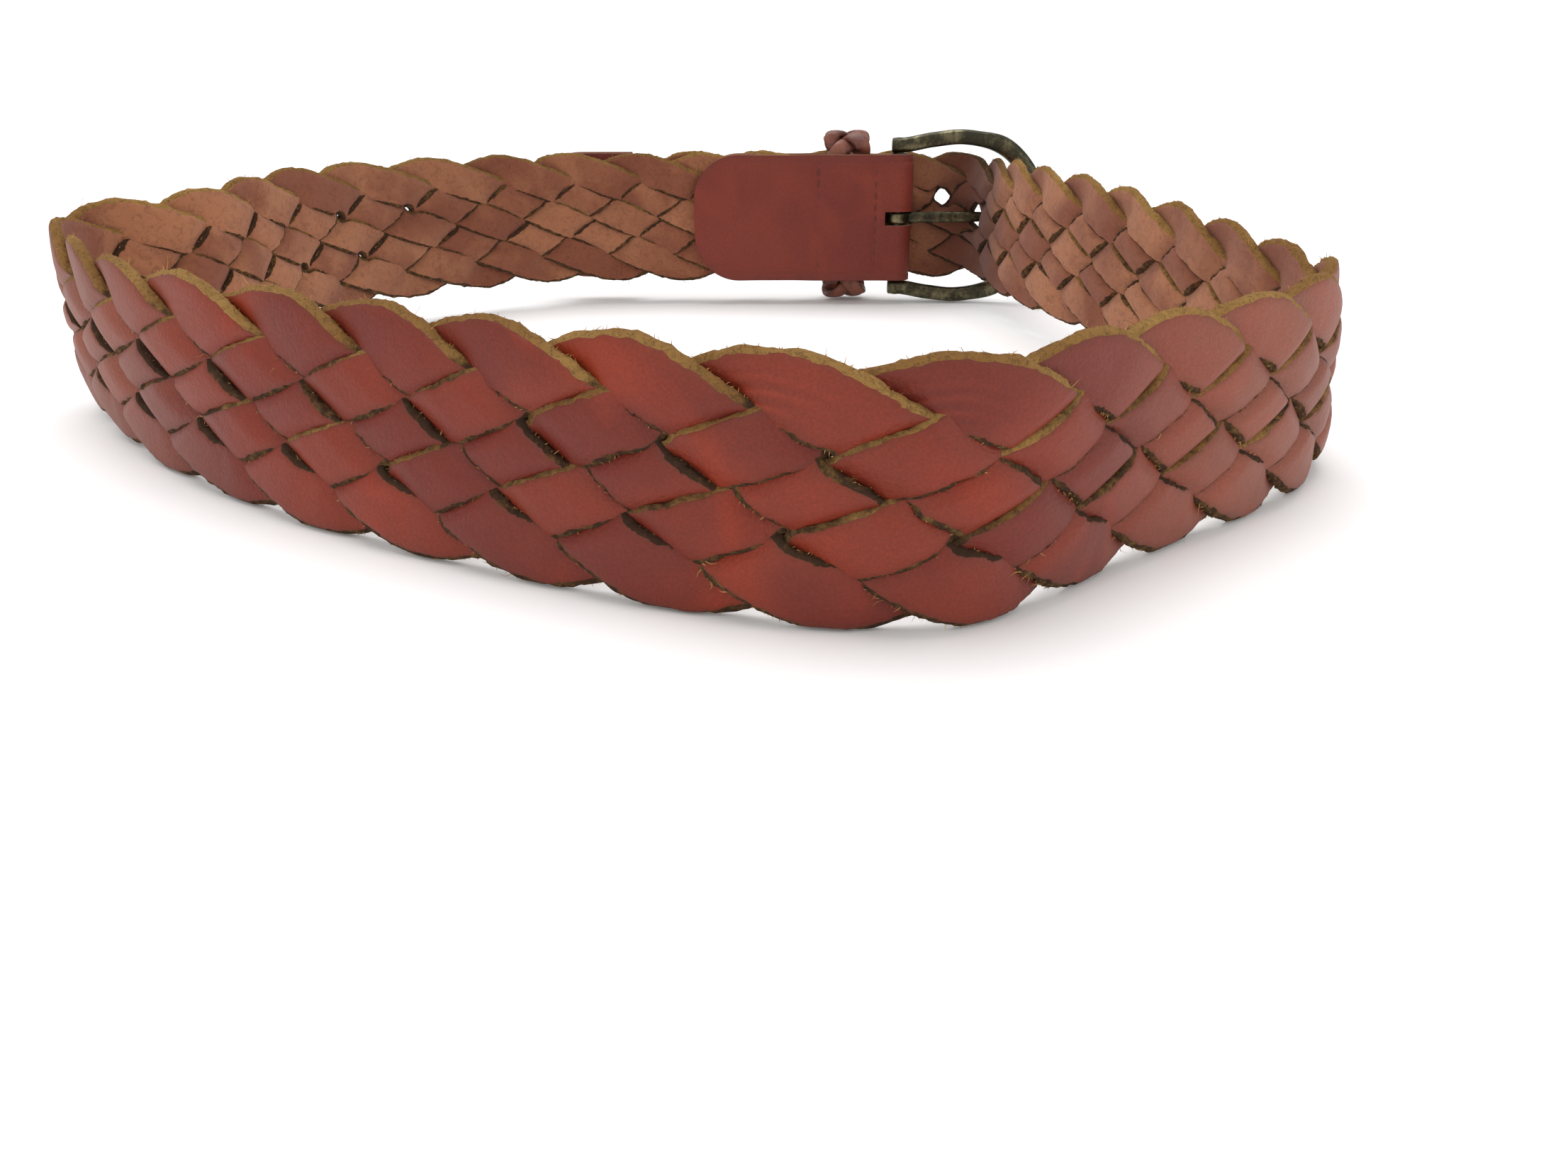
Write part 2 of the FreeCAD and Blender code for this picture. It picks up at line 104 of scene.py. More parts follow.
class Uneven(Enum):
    """Random unevenness of a lace: (seed, distance between knots in mm, amount)."""

    WIDTH = (1, 14.0, 0.025)
    SWING = (2, 60.0, 0.012)
    UPPER_EDGE = (4, 5.0, 0.13)
    LOWER_EDGE = (5, 5.0, 0.13)
    LEVEL = (6, 9.0, 0.10)
    TWIST = (7, 11.0, 0.16)
    DYE = (8, 18.0, 1.0)
    LONG_DYE = (9, 60.0, 0.5)
    BULGE = (12, 3.1, 0.35)
    GRIME = (13, 9.0, 0.34)

    def at(self, length: Array, lace: int) -> Array:
        """The unevenness of one lace at each length along it."""
        seed, spacing, amount = self.value
        return amount * wander(length, SEEDS_PER_LACE * lace + seed, spacing)


def blend(value: Array) -> Array:
    """Smooth step from 0 to 1."""
    value = np.clip(value, 0, 1)
    return value * value * (3 - 2 * value)


def bell(place: Array, centre: float, reach: float, power: int = 2) -> Array:
    """Bump of height 1 round a centre; power 4 gives it a flat top."""
    return np.exp(-((place - centre) / reach) ** power)


def unit(vectors: Array) -> Array:
    """Vectors of the last axis, made 1 long."""
    return vectors / np.maximum(np.linalg.norm(vectors, axis=-1, keepdims=True), 1e-6)


def cubic(u: Array, start: Array, end: Array, slope_start: Array, slope_end: Array) -> Array:
    """Smooth curve between two values with given slopes.

    Args:
        u: Share of the way, from 0 to 1.
        start: Value at 0.
        end: Value at 1.
        slope_start: Slope at 0.
        slope_end: Slope at 1.

    Returns:
        The curve's value at each u.
    """
    return (start * (2 * u ** 3 - 3 * u ** 2 + 1) + slope_start * (u ** 3 - 2 * u ** 2 + u)
            + end * (3 * u ** 2 - 2 * u ** 3) + slope_end * (u ** 3 - u ** 2))


def rounded_section(count: int, power: float) -> tuple[Array, Array]:
    """Ring between a circle and a square.

    Args:
        count: Number of points.
        power: 1 for a circle, less for a squarer ring.

    Returns:
        Sideways and facing parts of each point, from -1 to 1.
    """
    angle = np.linspace(0, 2 * math.pi, count, endpoint=False)
    side, face = (np.sign(wave) * np.abs(wave) ** power for wave in (np.cos(angle), np.sin(angle)))
    return side, face


def log_piece(piece: bpy.types.Object) -> None:
    """Log a piece's name and its number of points."""
    log.info("%s: %d points", piece.name, len(piece.data.vertices))


def make_piece(name: str, points: Array, faces: list, layers: list[int],
               materials: list[bpy.types.Material],
               attributes: dict[str, Array] | None = None) -> bpy.types.Object:
    """Mesh object from points in millimetres.

    Args:
        name: Name of the piece.
        points: Its points, in the row frame.
        faces: Point numbers of each face.
        layers: Material number of each face.
        materials: The piece's materials.
        attributes: Values per point, by name, for the materials to read.

    Returns:
        The new object, smooth shaded and linked to the scene.
    """
    mesh = bpy.data.meshes.new(name)
    mesh.from_pydata((points * MM).tolist(), [], faces)
    for material in materials:
        mesh.materials.append(material)
    mesh.polygons.foreach_set("material_index", np.asarray(layers, np.int32))
    mesh.polygons.foreach_set("use_smooth", np.ones(len(faces), bool))
    for key, values in (attributes or {}).items():
        attribute = mesh.attributes.new(key, "FLOAT", "POINT")
        attribute.data.foreach_set("value", np.asarray(values, np.float32))
    mesh.update()
    piece = bpy.data.objects.new(name, mesh)
    bpy.context.scene.collection.objects.link(piece)
    return piece


def tube_faces(stations: int, ring: int, closed: bool) -> list[tuple[int, ...]]:
    """Quads round a tube of sections.

    Args:
        stations: Number of sections along the tube.
        ring: Number of points round each.
        closed: Whether the tube meets itself, or else has end caps.

    Returns:
        Point numbers of each face.
    """
    spans = stations if closed else stations - 1
    i, j = np.meshgrid(np.arange(spans), np.arange(ring), indexing="ij")
    following = (i + 1) % stations
    side = (j + 1) % ring
    quads = np.stack([i * ring + j, following * ring + j,
                      following * ring + side, i * ring + side], -1)
    faces = [tuple(q) for q in quads.reshape(-1, 4).tolist()]
    if not closed:
        faces.append(tuple(range(ring)))
        faces.append(tuple((stations - 1) * ring + k for k in reversed(range(ring))))
    return faces


# ------------------------------------------------------------------ shader tools
class Graph:
    """Places and joins the nodes of one shader tree."""

    def __init__(self, tree: bpy.types.NodeTree) -> None:
        """Start from an empty tree."""
        self.tree = tree
        tree.nodes.clear()

    def node(self, kind: str, inputs: dict | None = None, **settings: Any) -> bpy.types.Node:
        """Add a node.

        Args:
            kind: Its type, without the ShaderNode prefix.
            inputs: A socket to join or a value to set, by input name or number.
            **settings: Properties of the node.

        Returns:
            The node.
        """
        node = self.tree.nodes.new(kind if kind.startswith("Node") else "ShaderNode" + kind)
        for key, value in settings.items():
            setattr(node, key, value)
        for key, value in (inputs or {}).items():
            if isinstance(value, bpy.types.NodeSocket):
                self.tree.links.new(value, node.inputs[key])
            else:
                node.inputs[key].default_value = value
        return node

    def math(self, operation: str, a: Any, b: Any = 0.0) -> bpy.types.NodeSocket:
        """Result of one sum on two values or sockets."""
        return self.node("Math", {0: a, 1: b}, operation=operation).outputs[0]

    def times(self, a: Any, b: Any) -> bpy.types.NodeSocket:
        """Product of two values or sockets."""
        return self.math("MULTIPLY", a, b)

    def plus(self, a: Any, b: Any) -> bpy.types.NodeSocket:
        """Sum of two values or sockets."""
        return self.math("ADD", a, b)

    def join(self, socket: bpy.types.NodeSocket, node: bpy.types.Node, name: str) -> None:
        """Lead a socket into a named input of a node."""
        self.tree.links.new(socket, node.inputs[name])

    def dim(self, colour: Any, share: Any) -> bpy.types.NodeSocket:
        """Colour multiplied by a share."""
        grey = self.node("CombineColor", {0: share, 1: share, 2: share}).outputs[0]
        return self.mix(1.0, colour, grey, "MULTIPLY")

    def bump(self, shader: bpy.types.Node, strength: float, distance: float, height: Any) -> None:
        """Give a shader relief: how strong, how deep in metres, and the height itself."""
        node = self.node("Bump", {"Strength": strength, "Distance": distance, "Height": height})
        self.join(node.outputs[0], shader, "Normal")

    def mix(self, share: Any, a: Any, b: Any, kind: str = "MIX") -> bpy.types.NodeSocket:
        """Colour a turned towards colour b.

        Args:
            share: How far, from 0 to 1.
            a: First colour or socket.
            b: Second colour or socket.
            kind: How the two are blended.

        Returns:
            The colour's socket.
        """
        a, b = ((*c, 1.0) if isinstance(c, tuple) and len(c) == 3 else c for c in (a, b))
        node = self.node("Mix", {0: share, 6: a, 7: b}, data_type="RGBA", blend_type=kind)
        return node.outputs[2]

    def noise(self, place: Any, scale: float, detail: float = 4.0, rough: float = 0.55,
              twist: float = 0.0) -> bpy.types.NodeSocket:
        """Noise from 0 to 1 at a place."""
        node = self.node("TexNoise", {"Vector": place, "Scale": scale, "Detail": detail,
                                      "Roughness": rough, "Distortion": twist})
        return node.outputs["Fac"]

    def between(self, value: Any, low: float, high: float, to_low: float = 0.0,
                to_high: float = 1.0) -> bpy.types.NodeSocket:
        """Value stretched smoothly from low..high to another range."""
        node = self.node("MapRange", {"Value": value, "From Min": low, "From Max": high,
                                      "To Min": to_low, "To Max": to_high},
                         interpolation_type="SMOOTHSTEP")
        return node.outputs[0]

    def attribute(self, name: str) -> bpy.types.NodeSocket:
        """A value kept on the mesh."""
        return self.node("Attribute", attribute_name=name).outputs["Fac"]

    def place(self) -> bpy.types.NodeSocket:
        """The spot on the piece, in metres in the row frame."""
        return self.node("TexCoord").outputs["Object"]


def new_group(name: str, inputs: dict[str, float], outputs: dict[str, str]) -> Graph:
    """Empty shader group.

    Args:
        name: Name of the group.
        inputs: Default of each number that goes in, by name.
        outputs: Socket type of each result, by name.

    Returns:
        The graph, with its inputs and outputs placed as start and end.
    """
    tree = bpy.data.node_groups.new(name, "ShaderNodeTree")
    graph = Graph(tree)
    for key, value in inputs.items():
        socket = tree.interface.new_socket(key, in_out="INPUT", socket_type="NodeSocketFloat")
        socket.default_value = value
    for key, kind in outputs.items():
        tree.interface.new_socket(key, in_out="OUTPUT", socket_type=kind)
    graph.start = graph.node("NodeGroupInput")
    graph.end = graph.node("NodeGroupOutput")
    return graph


class Effects:
    """Shader groups that several finishes share."""

    def __init__(self) -> None:
        """Build each group once."""
        self.mottle = self.build_mottle()
        self.pores = self.build_pores()
        self.nap = self.build_nap()

    def build_mottle(self) -> bpy.types.NodeTree:
        """Uneven dye: broad clouds, warm patches and fine speckle.

        Returns:
            The group.
        """
        graph = new_group("uneven_dye", {"Size": 45.0, "Warmth": 0.5},
                          {"Cloud": "NodeSocketFloat", "Patch": "NodeSocketFloat",
                           "Speckle": "NodeSocketFloat"})
        place = graph.place()
        size = graph.start.outputs["Size"]
        cloud = graph.noise(place, 1.0, 3.0, 0.5, 0.6)
        graph.join(size, cloud.node, "Scale")
        patch = graph.noise(place, 1.0, 2.0, 0.6, 1.2)
        graph.join(graph.times(size, 0.55), patch.node, "Scale")
        limit = graph.math("SUBTRACT", 1.0, graph.start.outputs["Warmth"])
        warm = graph.times(graph.math("SUBTRACT", patch, graph.times(limit, 0.9)), 6.0)
        warm = graph.math("MINIMUM", graph.math("MAXIMUM", warm, 0.0), 1.0)
        speckle = graph.noise(place, 2600.0, 2.0, 0.7)
        graph.join(cloud, graph.end, "Cloud")
        graph.join(warm, graph.end, "Patch")
        graph.join(speckle, graph.end, "Speckle")
        return graph.tree

    def build_pores(self) -> bpy.types.NodeTree:
        """Grain of a smooth hide: small rounded cells, pores and faint wrinkles.

        Returns:
            The group.
        """
        graph = new_group("hide_grain", {"Size": 1500.0, "Depth": 1.0},
                          {"Height": "NodeSocketFloat"})
        place = graph.place()
        stir = graph.node("TexNoise", {"Vector": place, "Scale": 300.0}).outputs["Color"]
        bent = graph.node("MixRGB", {0: 0.002, 1: place, 2: stir})
        cells = graph.node("TexVoronoi", {"Vector": bent.outputs[0]}, feature="SMOOTH_F1")
        graph.join(graph.start.outputs["Size"], cells, "Scale")
        wrinkle = graph.noise(place, 420.0, 5.0, 0.6, 0.8)
        fine = graph.noise(place, 3200.0, 2.0)
        height = graph.times(cells.outputs["Distance"], -0.5)
        height = graph.plus(height, graph.times(wrinkle, 0.9))
        height = graph.plus(height, graph.times(fine, 0.25))
        height = graph.times(height, graph.start.outputs["Depth"])
        graph.join(height, graph.end, "Height")
        return graph.tree

    def build_nap(self) -> bpy.types.NodeTree:
        """Loose fibres of split leather: clumps, pits and fine hair.

        Returns:
            The group.
        """
        graph = new_group("fibre_nap", {"Size": 900.0, "Depth": 1.0},
                          {"Height": "NodeSocketFloat", "Pits": "NodeSocketFloat"})
        place = graph.place()
        size = graph.start.outputs["Size"]
        clump = graph.noise(place, 1.0, 5.0, 0.7, 1.5)
        graph.join(size, clump.node, "Scale")
        hair = graph.noise(place, 1.0, 3.0, 0.8, 2.5)
        graph.join(graph.times(size, 3.4), hair.node, "Scale")
        height = graph.plus(clump, graph.times(hair, 0.5))
        height = graph.times(height, graph.start.outputs["Depth"])
        pits = graph.between(clump, 0.36, 0.52)
        graph.join(height, graph.end, "Height")
        graph.join(pits, graph.end, "Pits")
        return graph.tree


def new_material(name: str, **constants: Any) -> tuple[Graph, bpy.types.Node, bpy.types.Material]:
    """Material with a Principled shader whose constant inputs are set by name.

    Args:
        name: Name of the material.
        **constants: Value of each constant socket, with underscores for spaces.

    Returns:
        Its graph, its shader and the material.
    """
    material = bpy.data.materials.new(name)
    material.use_nodes = True
    graph = Graph(material.node_tree)
    shader = graph.node("BsdfPrincipled")
    for key, value in constants.items():
        shader.inputs[key.replace("_", " ").title().replace("Ior", "IOR")].default_value = value
    output = graph.node("OutputMaterial")
    graph.tree.links.new(shader.outputs[0], output.inputs[0])
    return graph, shader, material


@dataclass(frozen=True)
class SmoothHide:
    """Dyed grain side of leather, smooth, with a little wear and painted shade along its edges."""

    name: str
    deep: Colour
    middle: Colour
    warm: Colour
    rim: Colour
    roughness: float = 0.52
    patch_size: float = 45.0
    warmth: float = 0.5
    grain_size: float = 1500.0
    grain_depth: float = 0.00022
    creased: bool = False
    pale: Colour = (0.36, 0.165, 0.105)

    def build(self, effects: Effects) -> bpy.types.Material:
        """Build the material.

        Args:
            effects: The shared shader groups.

        Returns:
            The finished material.
        """
        graph, shader, material = new_material(self.name, specular_ior_level=0.32)
        dye = graph.node("Group", node_tree=effects.mottle)
        dye.inputs["Size"].default_value = self.patch_size
        dye.inputs["Warmth"].default_value = self.warmth
        tone = graph.attribute("tone")
        shade = graph.plus(graph.times(tone, 0.32), dye.outputs["Cloud"])
        colour = graph.mix(graph.between(shade, 0.22, 0.78), self.deep, self.middle)
        colour = graph.mix(graph.times(dye.outputs["Patch"], 0.75), colour, self.warm)
        # Paler and less red along set stretches of the strap, towards the right and the far left of
        # the loop.
        paling = graph.times(graph.attribute("paler_stretch"), 0.34)
        colour = graph.mix(paling, colour, self.pale)
        fleck = graph.between(dye.outputs["Speckle"], 0.25, 0.8, 0.82, 1.12)
        colour = graph.dim(colour, fleck)
        # Darker along the edges of the grain face: partly wear, partly painted shade next to the
        # crevices.
        across = graph.math("ABSOLUTE", graph.attribute("across"))
        rim = graph.math("POWER", across, 9.0)
        rim_wear_and_shade = graph.times(rim, graph.noise(graph.place(), 380.0, 3.0))
        colour = graph.mix(rim_wear_and_shade, colour, self.rim)
        grain = graph.node("Group", node_tree=effects.pores)
        grain.inputs["Size"].default_value = self.grain_size
        height = grain.outputs["Height"]
        if self.creased:
            bend = graph.times(graph.noise(graph.place(), 90.0, 2.0), 5.0)
            line = graph.plus(graph.times(graph.attribute("across"), 15.0), bend)
            ridge = graph.times(graph.math("SINE", line), graph.attribute("crease"))
            height = graph.plus(height, graph.times(ridge, 0.9))
            # The crease ridges are painted lighter and their hollows darker: painted light and
            # shade.
            lift = graph.between(ridge, -0.6, 0.8, 0.86, 1.16)
            colour = graph.dim(colour, lift)
        shine = graph.plus(graph.times(dye.outputs["Cloud"], 0.18), self.roughness - 0.09)
        graph.join(colour, shader, "Base Color")
        graph.join(shine, shader, "Roughness")
        graph.bump(shader, 0.8, self.grain_depth, height)
        return material


@dataclass(frozen=True)
class FibrousHide:
    """Undyed or half dyed fibrous leather: the flesh side or a raw cut edge."""

    name: str
    light: Colour
    middle: Colour
    dark: Colour
    sheen: float = 0.14
    nap_size: float = 900.0
    nap_depth: float = 0.0004
    dirt: float = 0.5
    stained_and_shaded: bool = False

    def build(self, effects: Effects) -> bpy.types.Material:
        """Build the material.

        Args:
            effects: The shared shader groups.

        Returns:
            The finished material.
        """
        graph, shader, material = new_material(self.name, roughness=0.95, specular_ior_level=0.15,
                                               sheen_weight=self.sheen, sheen_roughness=0.6)
        nap = graph.node("Group", node_tree=effects.nap)
        nap.inputs["Size"].default_value = self.nap_size
        dye = graph.node("Group", node_tree=effects.mottle)
        dye.inputs["Size"].default_value = 70.0
        dye.inputs["Warmth"].default_value = 0.5
        tone = graph.attribute("tone")
        shade = graph.plus(graph.times(tone, 0.3), dye.outputs["Cloud"])
        colour = graph.mix(graph.between(shade, 0.25, 0.75), self.middle, self.light)
        grime = graph.math("SUBTRACT", 1.0, nap.outputs["Pits"])
        colour = graph.mix(graph.times(grime, self.dirt), colour, self.dark)
        # Raw edges darkened by the painted shade and dirt kept on the mesh, with random specks.
        if self.stained_and_shaded:
            speck = graph.noise(graph.place(), 620.0, 3.0, 0.7)
            edge_shade_and_dirt = graph.attribute("grime")
            stain_and_shade = graph.plus(edge_shade_and_dirt, graph.between(speck, 0.2, 0.8, -0.35, 0.35))
            stain_and_shade = graph.times(graph.between(stain_and_shade, 0.1, 0.95), 0.92)
            colour = graph.mix(stain_and_shade, colour, self.dark)
        # Painted shade kept on the mesh, behind the prong and near the start of the strap.
        colour = graph.mix(graph.times(graph.attribute("shade"), 0.85), colour, self.dark)
        graph.join(colour, shader, "Base Color")
        graph.bump(shader, 1.0, self.nap_depth, nap.outputs["Height"])
        return material


@dataclass(frozen=True)
class AntiqueBrass:
    """Cast brass, darkened in the casting skin and rubbed bright in places."""

    name: str = "antique_brass"
    rubbed: Colour = (0.24, 0.21, 0.12)
    dark: Colour = (0.045, 0.041, 0.027)

    def build(self) -> bpy.types.Material:
        """Build the material.

        Returns:
            The finished material.
        """
        graph, shader, material = new_material(self.name)
        place = graph.place()
        broad = graph.noise(place, 110.0, 4.0, 0.6, 0.8)
        fine = graph.noise(place, 900.0, 4.0, 0.65)
        share = graph.plus(graph.times(broad, 0.75), graph.times(fine, 0.35))
        rub = graph.between(share, 0.46, 0.78)
        colour = graph.mix(rub, self.dark, self.rubbed)
        rough = graph.between(share, 0.35, 0.75, 0.5, 0.27)
        metal = graph.between(share, 0.30, 0.55, 0.8, 1.0)
        height = graph.plus(fine, graph.times(broad, 0.8))
        graph.join(colour, shader, "Base Color")
        graph.join(rough, shader, "Roughness")
        graph.join(metal, shader, "Metallic")
        graph.bump(shader, 0.6, 0.0002, height)
        return material


@dataclass(frozen=True)
class WaxedThread:
    """Twisted waxed sewing thread."""

    name: str = "waxed_thread"
    light: Colour = (0.150, 0.030, 0.020)
    dark: Colour = (0.080, 0.016, 0.010)

    def build(self) -> bpy.types.Material:
        """Build the material.

        Returns:
            The finished material.
        """
        graph, shader, material = new_material(self.name, roughness=0.6)
        place = graph.place()
        twist = graph.node("TexWave", {"Vector": place, "Scale": 700.0, "Distortion": 3.0},
                           bands_direction="DIAGONAL").outputs["Fac"]
        colour = graph.mix(twist, self.dark, self.light)
        graph.join(colour, shader, "Base Color")
        graph.bump(shader, 0.7, 0.0002, twist)
        return material


class Finishes:
    """Every material of the belt, built once."""

    def __init__(self) -> None:
        """Build them."""
        effects = Effects()
        self.lace_grain = SmoothHide(
            "lace_grain", deep=(0.160, 0.020, 0.010), middle=(0.218, 0.028, 0.011),
            warm=(0.285, 0.030, 0.008), rim=(0.09, 0.026, 0.010), warmth=0.38,
            creased=True).build(effects)
        self.lace_flesh = FibrousHide(
            "lace_flesh", light=(0.45, 0.185, 0.090), middle=(0.270, 0.086, 0.043),
            dark=(0.105, 0.030, 0.017), nap_size=500.0, nap_depth=0.00035, dirt=0.35).build(effects)
        self.lace_edge = FibrousHide(
            "lace_cut_edge", light=(0.60, 0.33, 0.090), middle=(0.44, 0.215, 0.052),
            dark=(0.050, 0.018, 0.008), sheen=0.04, nap_size=1100.0, nap_depth=0.0011, dirt=0.50,
            stained_and_shaded=True).build(effects)
        self.fibre = FibrousHide(
            "loose_fibre", light=(0.56, 0.33, 0.11), middle=(0.40, 0.205, 0.062),
            dark=(0.20, 0.10, 0.035), sheen=0.04, nap_size=700.0, nap_depth=0.0001,
            dirt=0.3).build(effects)
        self.tab_grain = SmoothHide(
            "tab_grain", deep=(0.165, 0.024, 0.015), middle=(0.195, 0.030, 0.017),
            warm=(0.215, 0.033, 0.017), rim=(0.09, 0.025, 0.018), roughness=0.56,
            patch_size=60.0, warmth=0.45, grain_size=1900.0, grain_depth=0.00018).build(effects)
        self.tab_edge = FibrousHide(
            "tab_cut_edge", light=(0.34, 0.17, 0.07), middle=(0.24, 0.10, 0.045),
            dark=(0.09, 0.03, 0.018), nap_size=1300.0, nap_depth=0.0002, dirt=0.5).build(effects)
        self.thong = SmoothHide(
            "keeper_thong", deep=(0.095, 0.028, 0.020), middle=(0.200, 0.070, 0.048),
            warm=(0.26, 0.09, 0.055), rim=(0.08, 0.025, 0.016), roughness=0.42,
            patch_size=160.0, warmth=0.5, grain_size=2200.0).build(effects)
        self.brass = AntiqueBrass().build()
        self.thread = WaxedThread().build()


# -------------------------------------------------------------------- strap path
@dataclass
class Strap:
    """Centre line of the strap in plan, measured from the prong hole."""

    bar: Spot
    loop_width: float = 275.0
    loop_depth: float = 268.0
    strap_width: float = 39.4
    lift: float = 7.5
    outer_layer: float = 7.39
    frame_reach: float = 45.0
    prong_rise: float = 3.85
    steps: int = 24
    clear_of_floor: float = 0.05
    loop: tuple = ((-0.253, 0.408, 0), (-0.360, 0.298, 0), (-0.408, 0.166, 0),
                   (-0.418, 0.062, 1), (-0.517, 0.005, 1), (-0.457, -0.091, -1),
                   (-0.350, -0.214, 0), (-0.220, -0.318, 6), (-0.056, -0.413, 7),
                   (0.081, -0.482, 0), (0.201, -0.510, -3), (0.286, -0.405, -2),
                   (0.420, -0.312, 0), (0.492, -0.206, 5), (0.484, -0.150, 6),
                   (0.449, 0.012, 7))
    inside_tab: tuple = ((-13, 0, 0), (-29, 0, 0), (-45, 0, 0), (-62, 0, 0), (-84, 0, 0),
                         (-106, 0, 0))
    approach: tuple = ((36, -62, 5), (31, -28, 2), (29.5, -12, 0), (29, 3, 0))
    outside_tab: tuple = ((20, 1.3, 0), (5, 1.08, 0), (-10, 1, 0), (-30, 1, 0), (-50, 1, 0),
                          (-70, 1, 0), (-90, 1, 0), (-106, 1, 0), (-122, 1, 0))

    def __post_init__(self) -> None:
        """Work out the rows of the centre line."""
        x, y, _ = self.bar
        points = [(x + t, y + n, lean) for t, n, lean in self.inside_tab]
        points += [(a * self.loop_width, b * self.loop_depth, lean) for a, b, lean in self.loop]
        points += [(x + t, y + n, lean) for t, n, lean in self.approach]
        points += [(x + t, y + n * self.outer_layer, lean) for t, n, lean in self.outside_tab]
        control = np.array(points, float)
        u = np.linspace(0, 1, self.steps, endpoint=False)
        spans = [self.weights(u) @ control[k:k + 4] for k in range(len(control) - 3)]
        spans.append(self.weights(np.array([1.0])) @ control[-4:])
        self.rows = np.vstack(spans)
        gaps = np.hypot(*np.diff(self.rows[:, :2], axis=0).T)
        self.s = np.concatenate([[0.0], np.cumsum(gaps)])
        t = self.rows[:, 0] - x
        meets = (t > 10) & (t < self.frame_reach)
        meets &= self.rows[:, 1] - y < t / self.frame_reach * self.prong_rise
        self.s -= self.s[np.flatnonzero(meets)[-1]]
        along = np.gradient(self.rows[:, :2], self.s, axis=0)
        self.along = unit(along)

    @staticmethod
    def weights(u: Array) -> Array:
        """Weights of four control points at each u."""
        return np.stack([(1 - u) ** 3 / 6, (3 * u ** 3 - 6 * u ** 2 + 4) / 6,
                         (-3 * u ** 3 + 3 * u ** 2 + 3 * u + 1) / 6, u ** 3 / 6], 1)

    def points(self, s: Array, h: Array, n: Array) -> Array:
        """Points h above and n outside the centre line at s.

        Args:
            s: Place along the strap.
            h: Height above its middle.
            n: Distance out of its middle layer.

        Returns:
            The points, in the row frame.
        """
        read = [np.interp(s, self.s, column) for column in (*self.rows.T, *self.along.T)]
        x, y, lean, along_x, along_y = read
        size = np.hypot(along_x, along_y)
        out = np.stack([along_y / size, -along_x / size, 0 * s], -1)
        up = np.array([0.0, 0.0, 1.0])
        lean = np.radians(lean)[..., None]
        across = up * np.cos(lean) - out * np.sin(lean)
        outward = out * np.cos(lean) + up * np.sin(lean)
        lift = self.lift * blend(y / self.bar[1] + 0.5)
        middle = np.stack([x, y, self.strap_width / 2 + lift], -1)
        places = middle + across * h[..., None] + outward * n[..., None]
        places[..., 2] = np.maximum(places[..., 2], self.clear_of_floor)
        return places


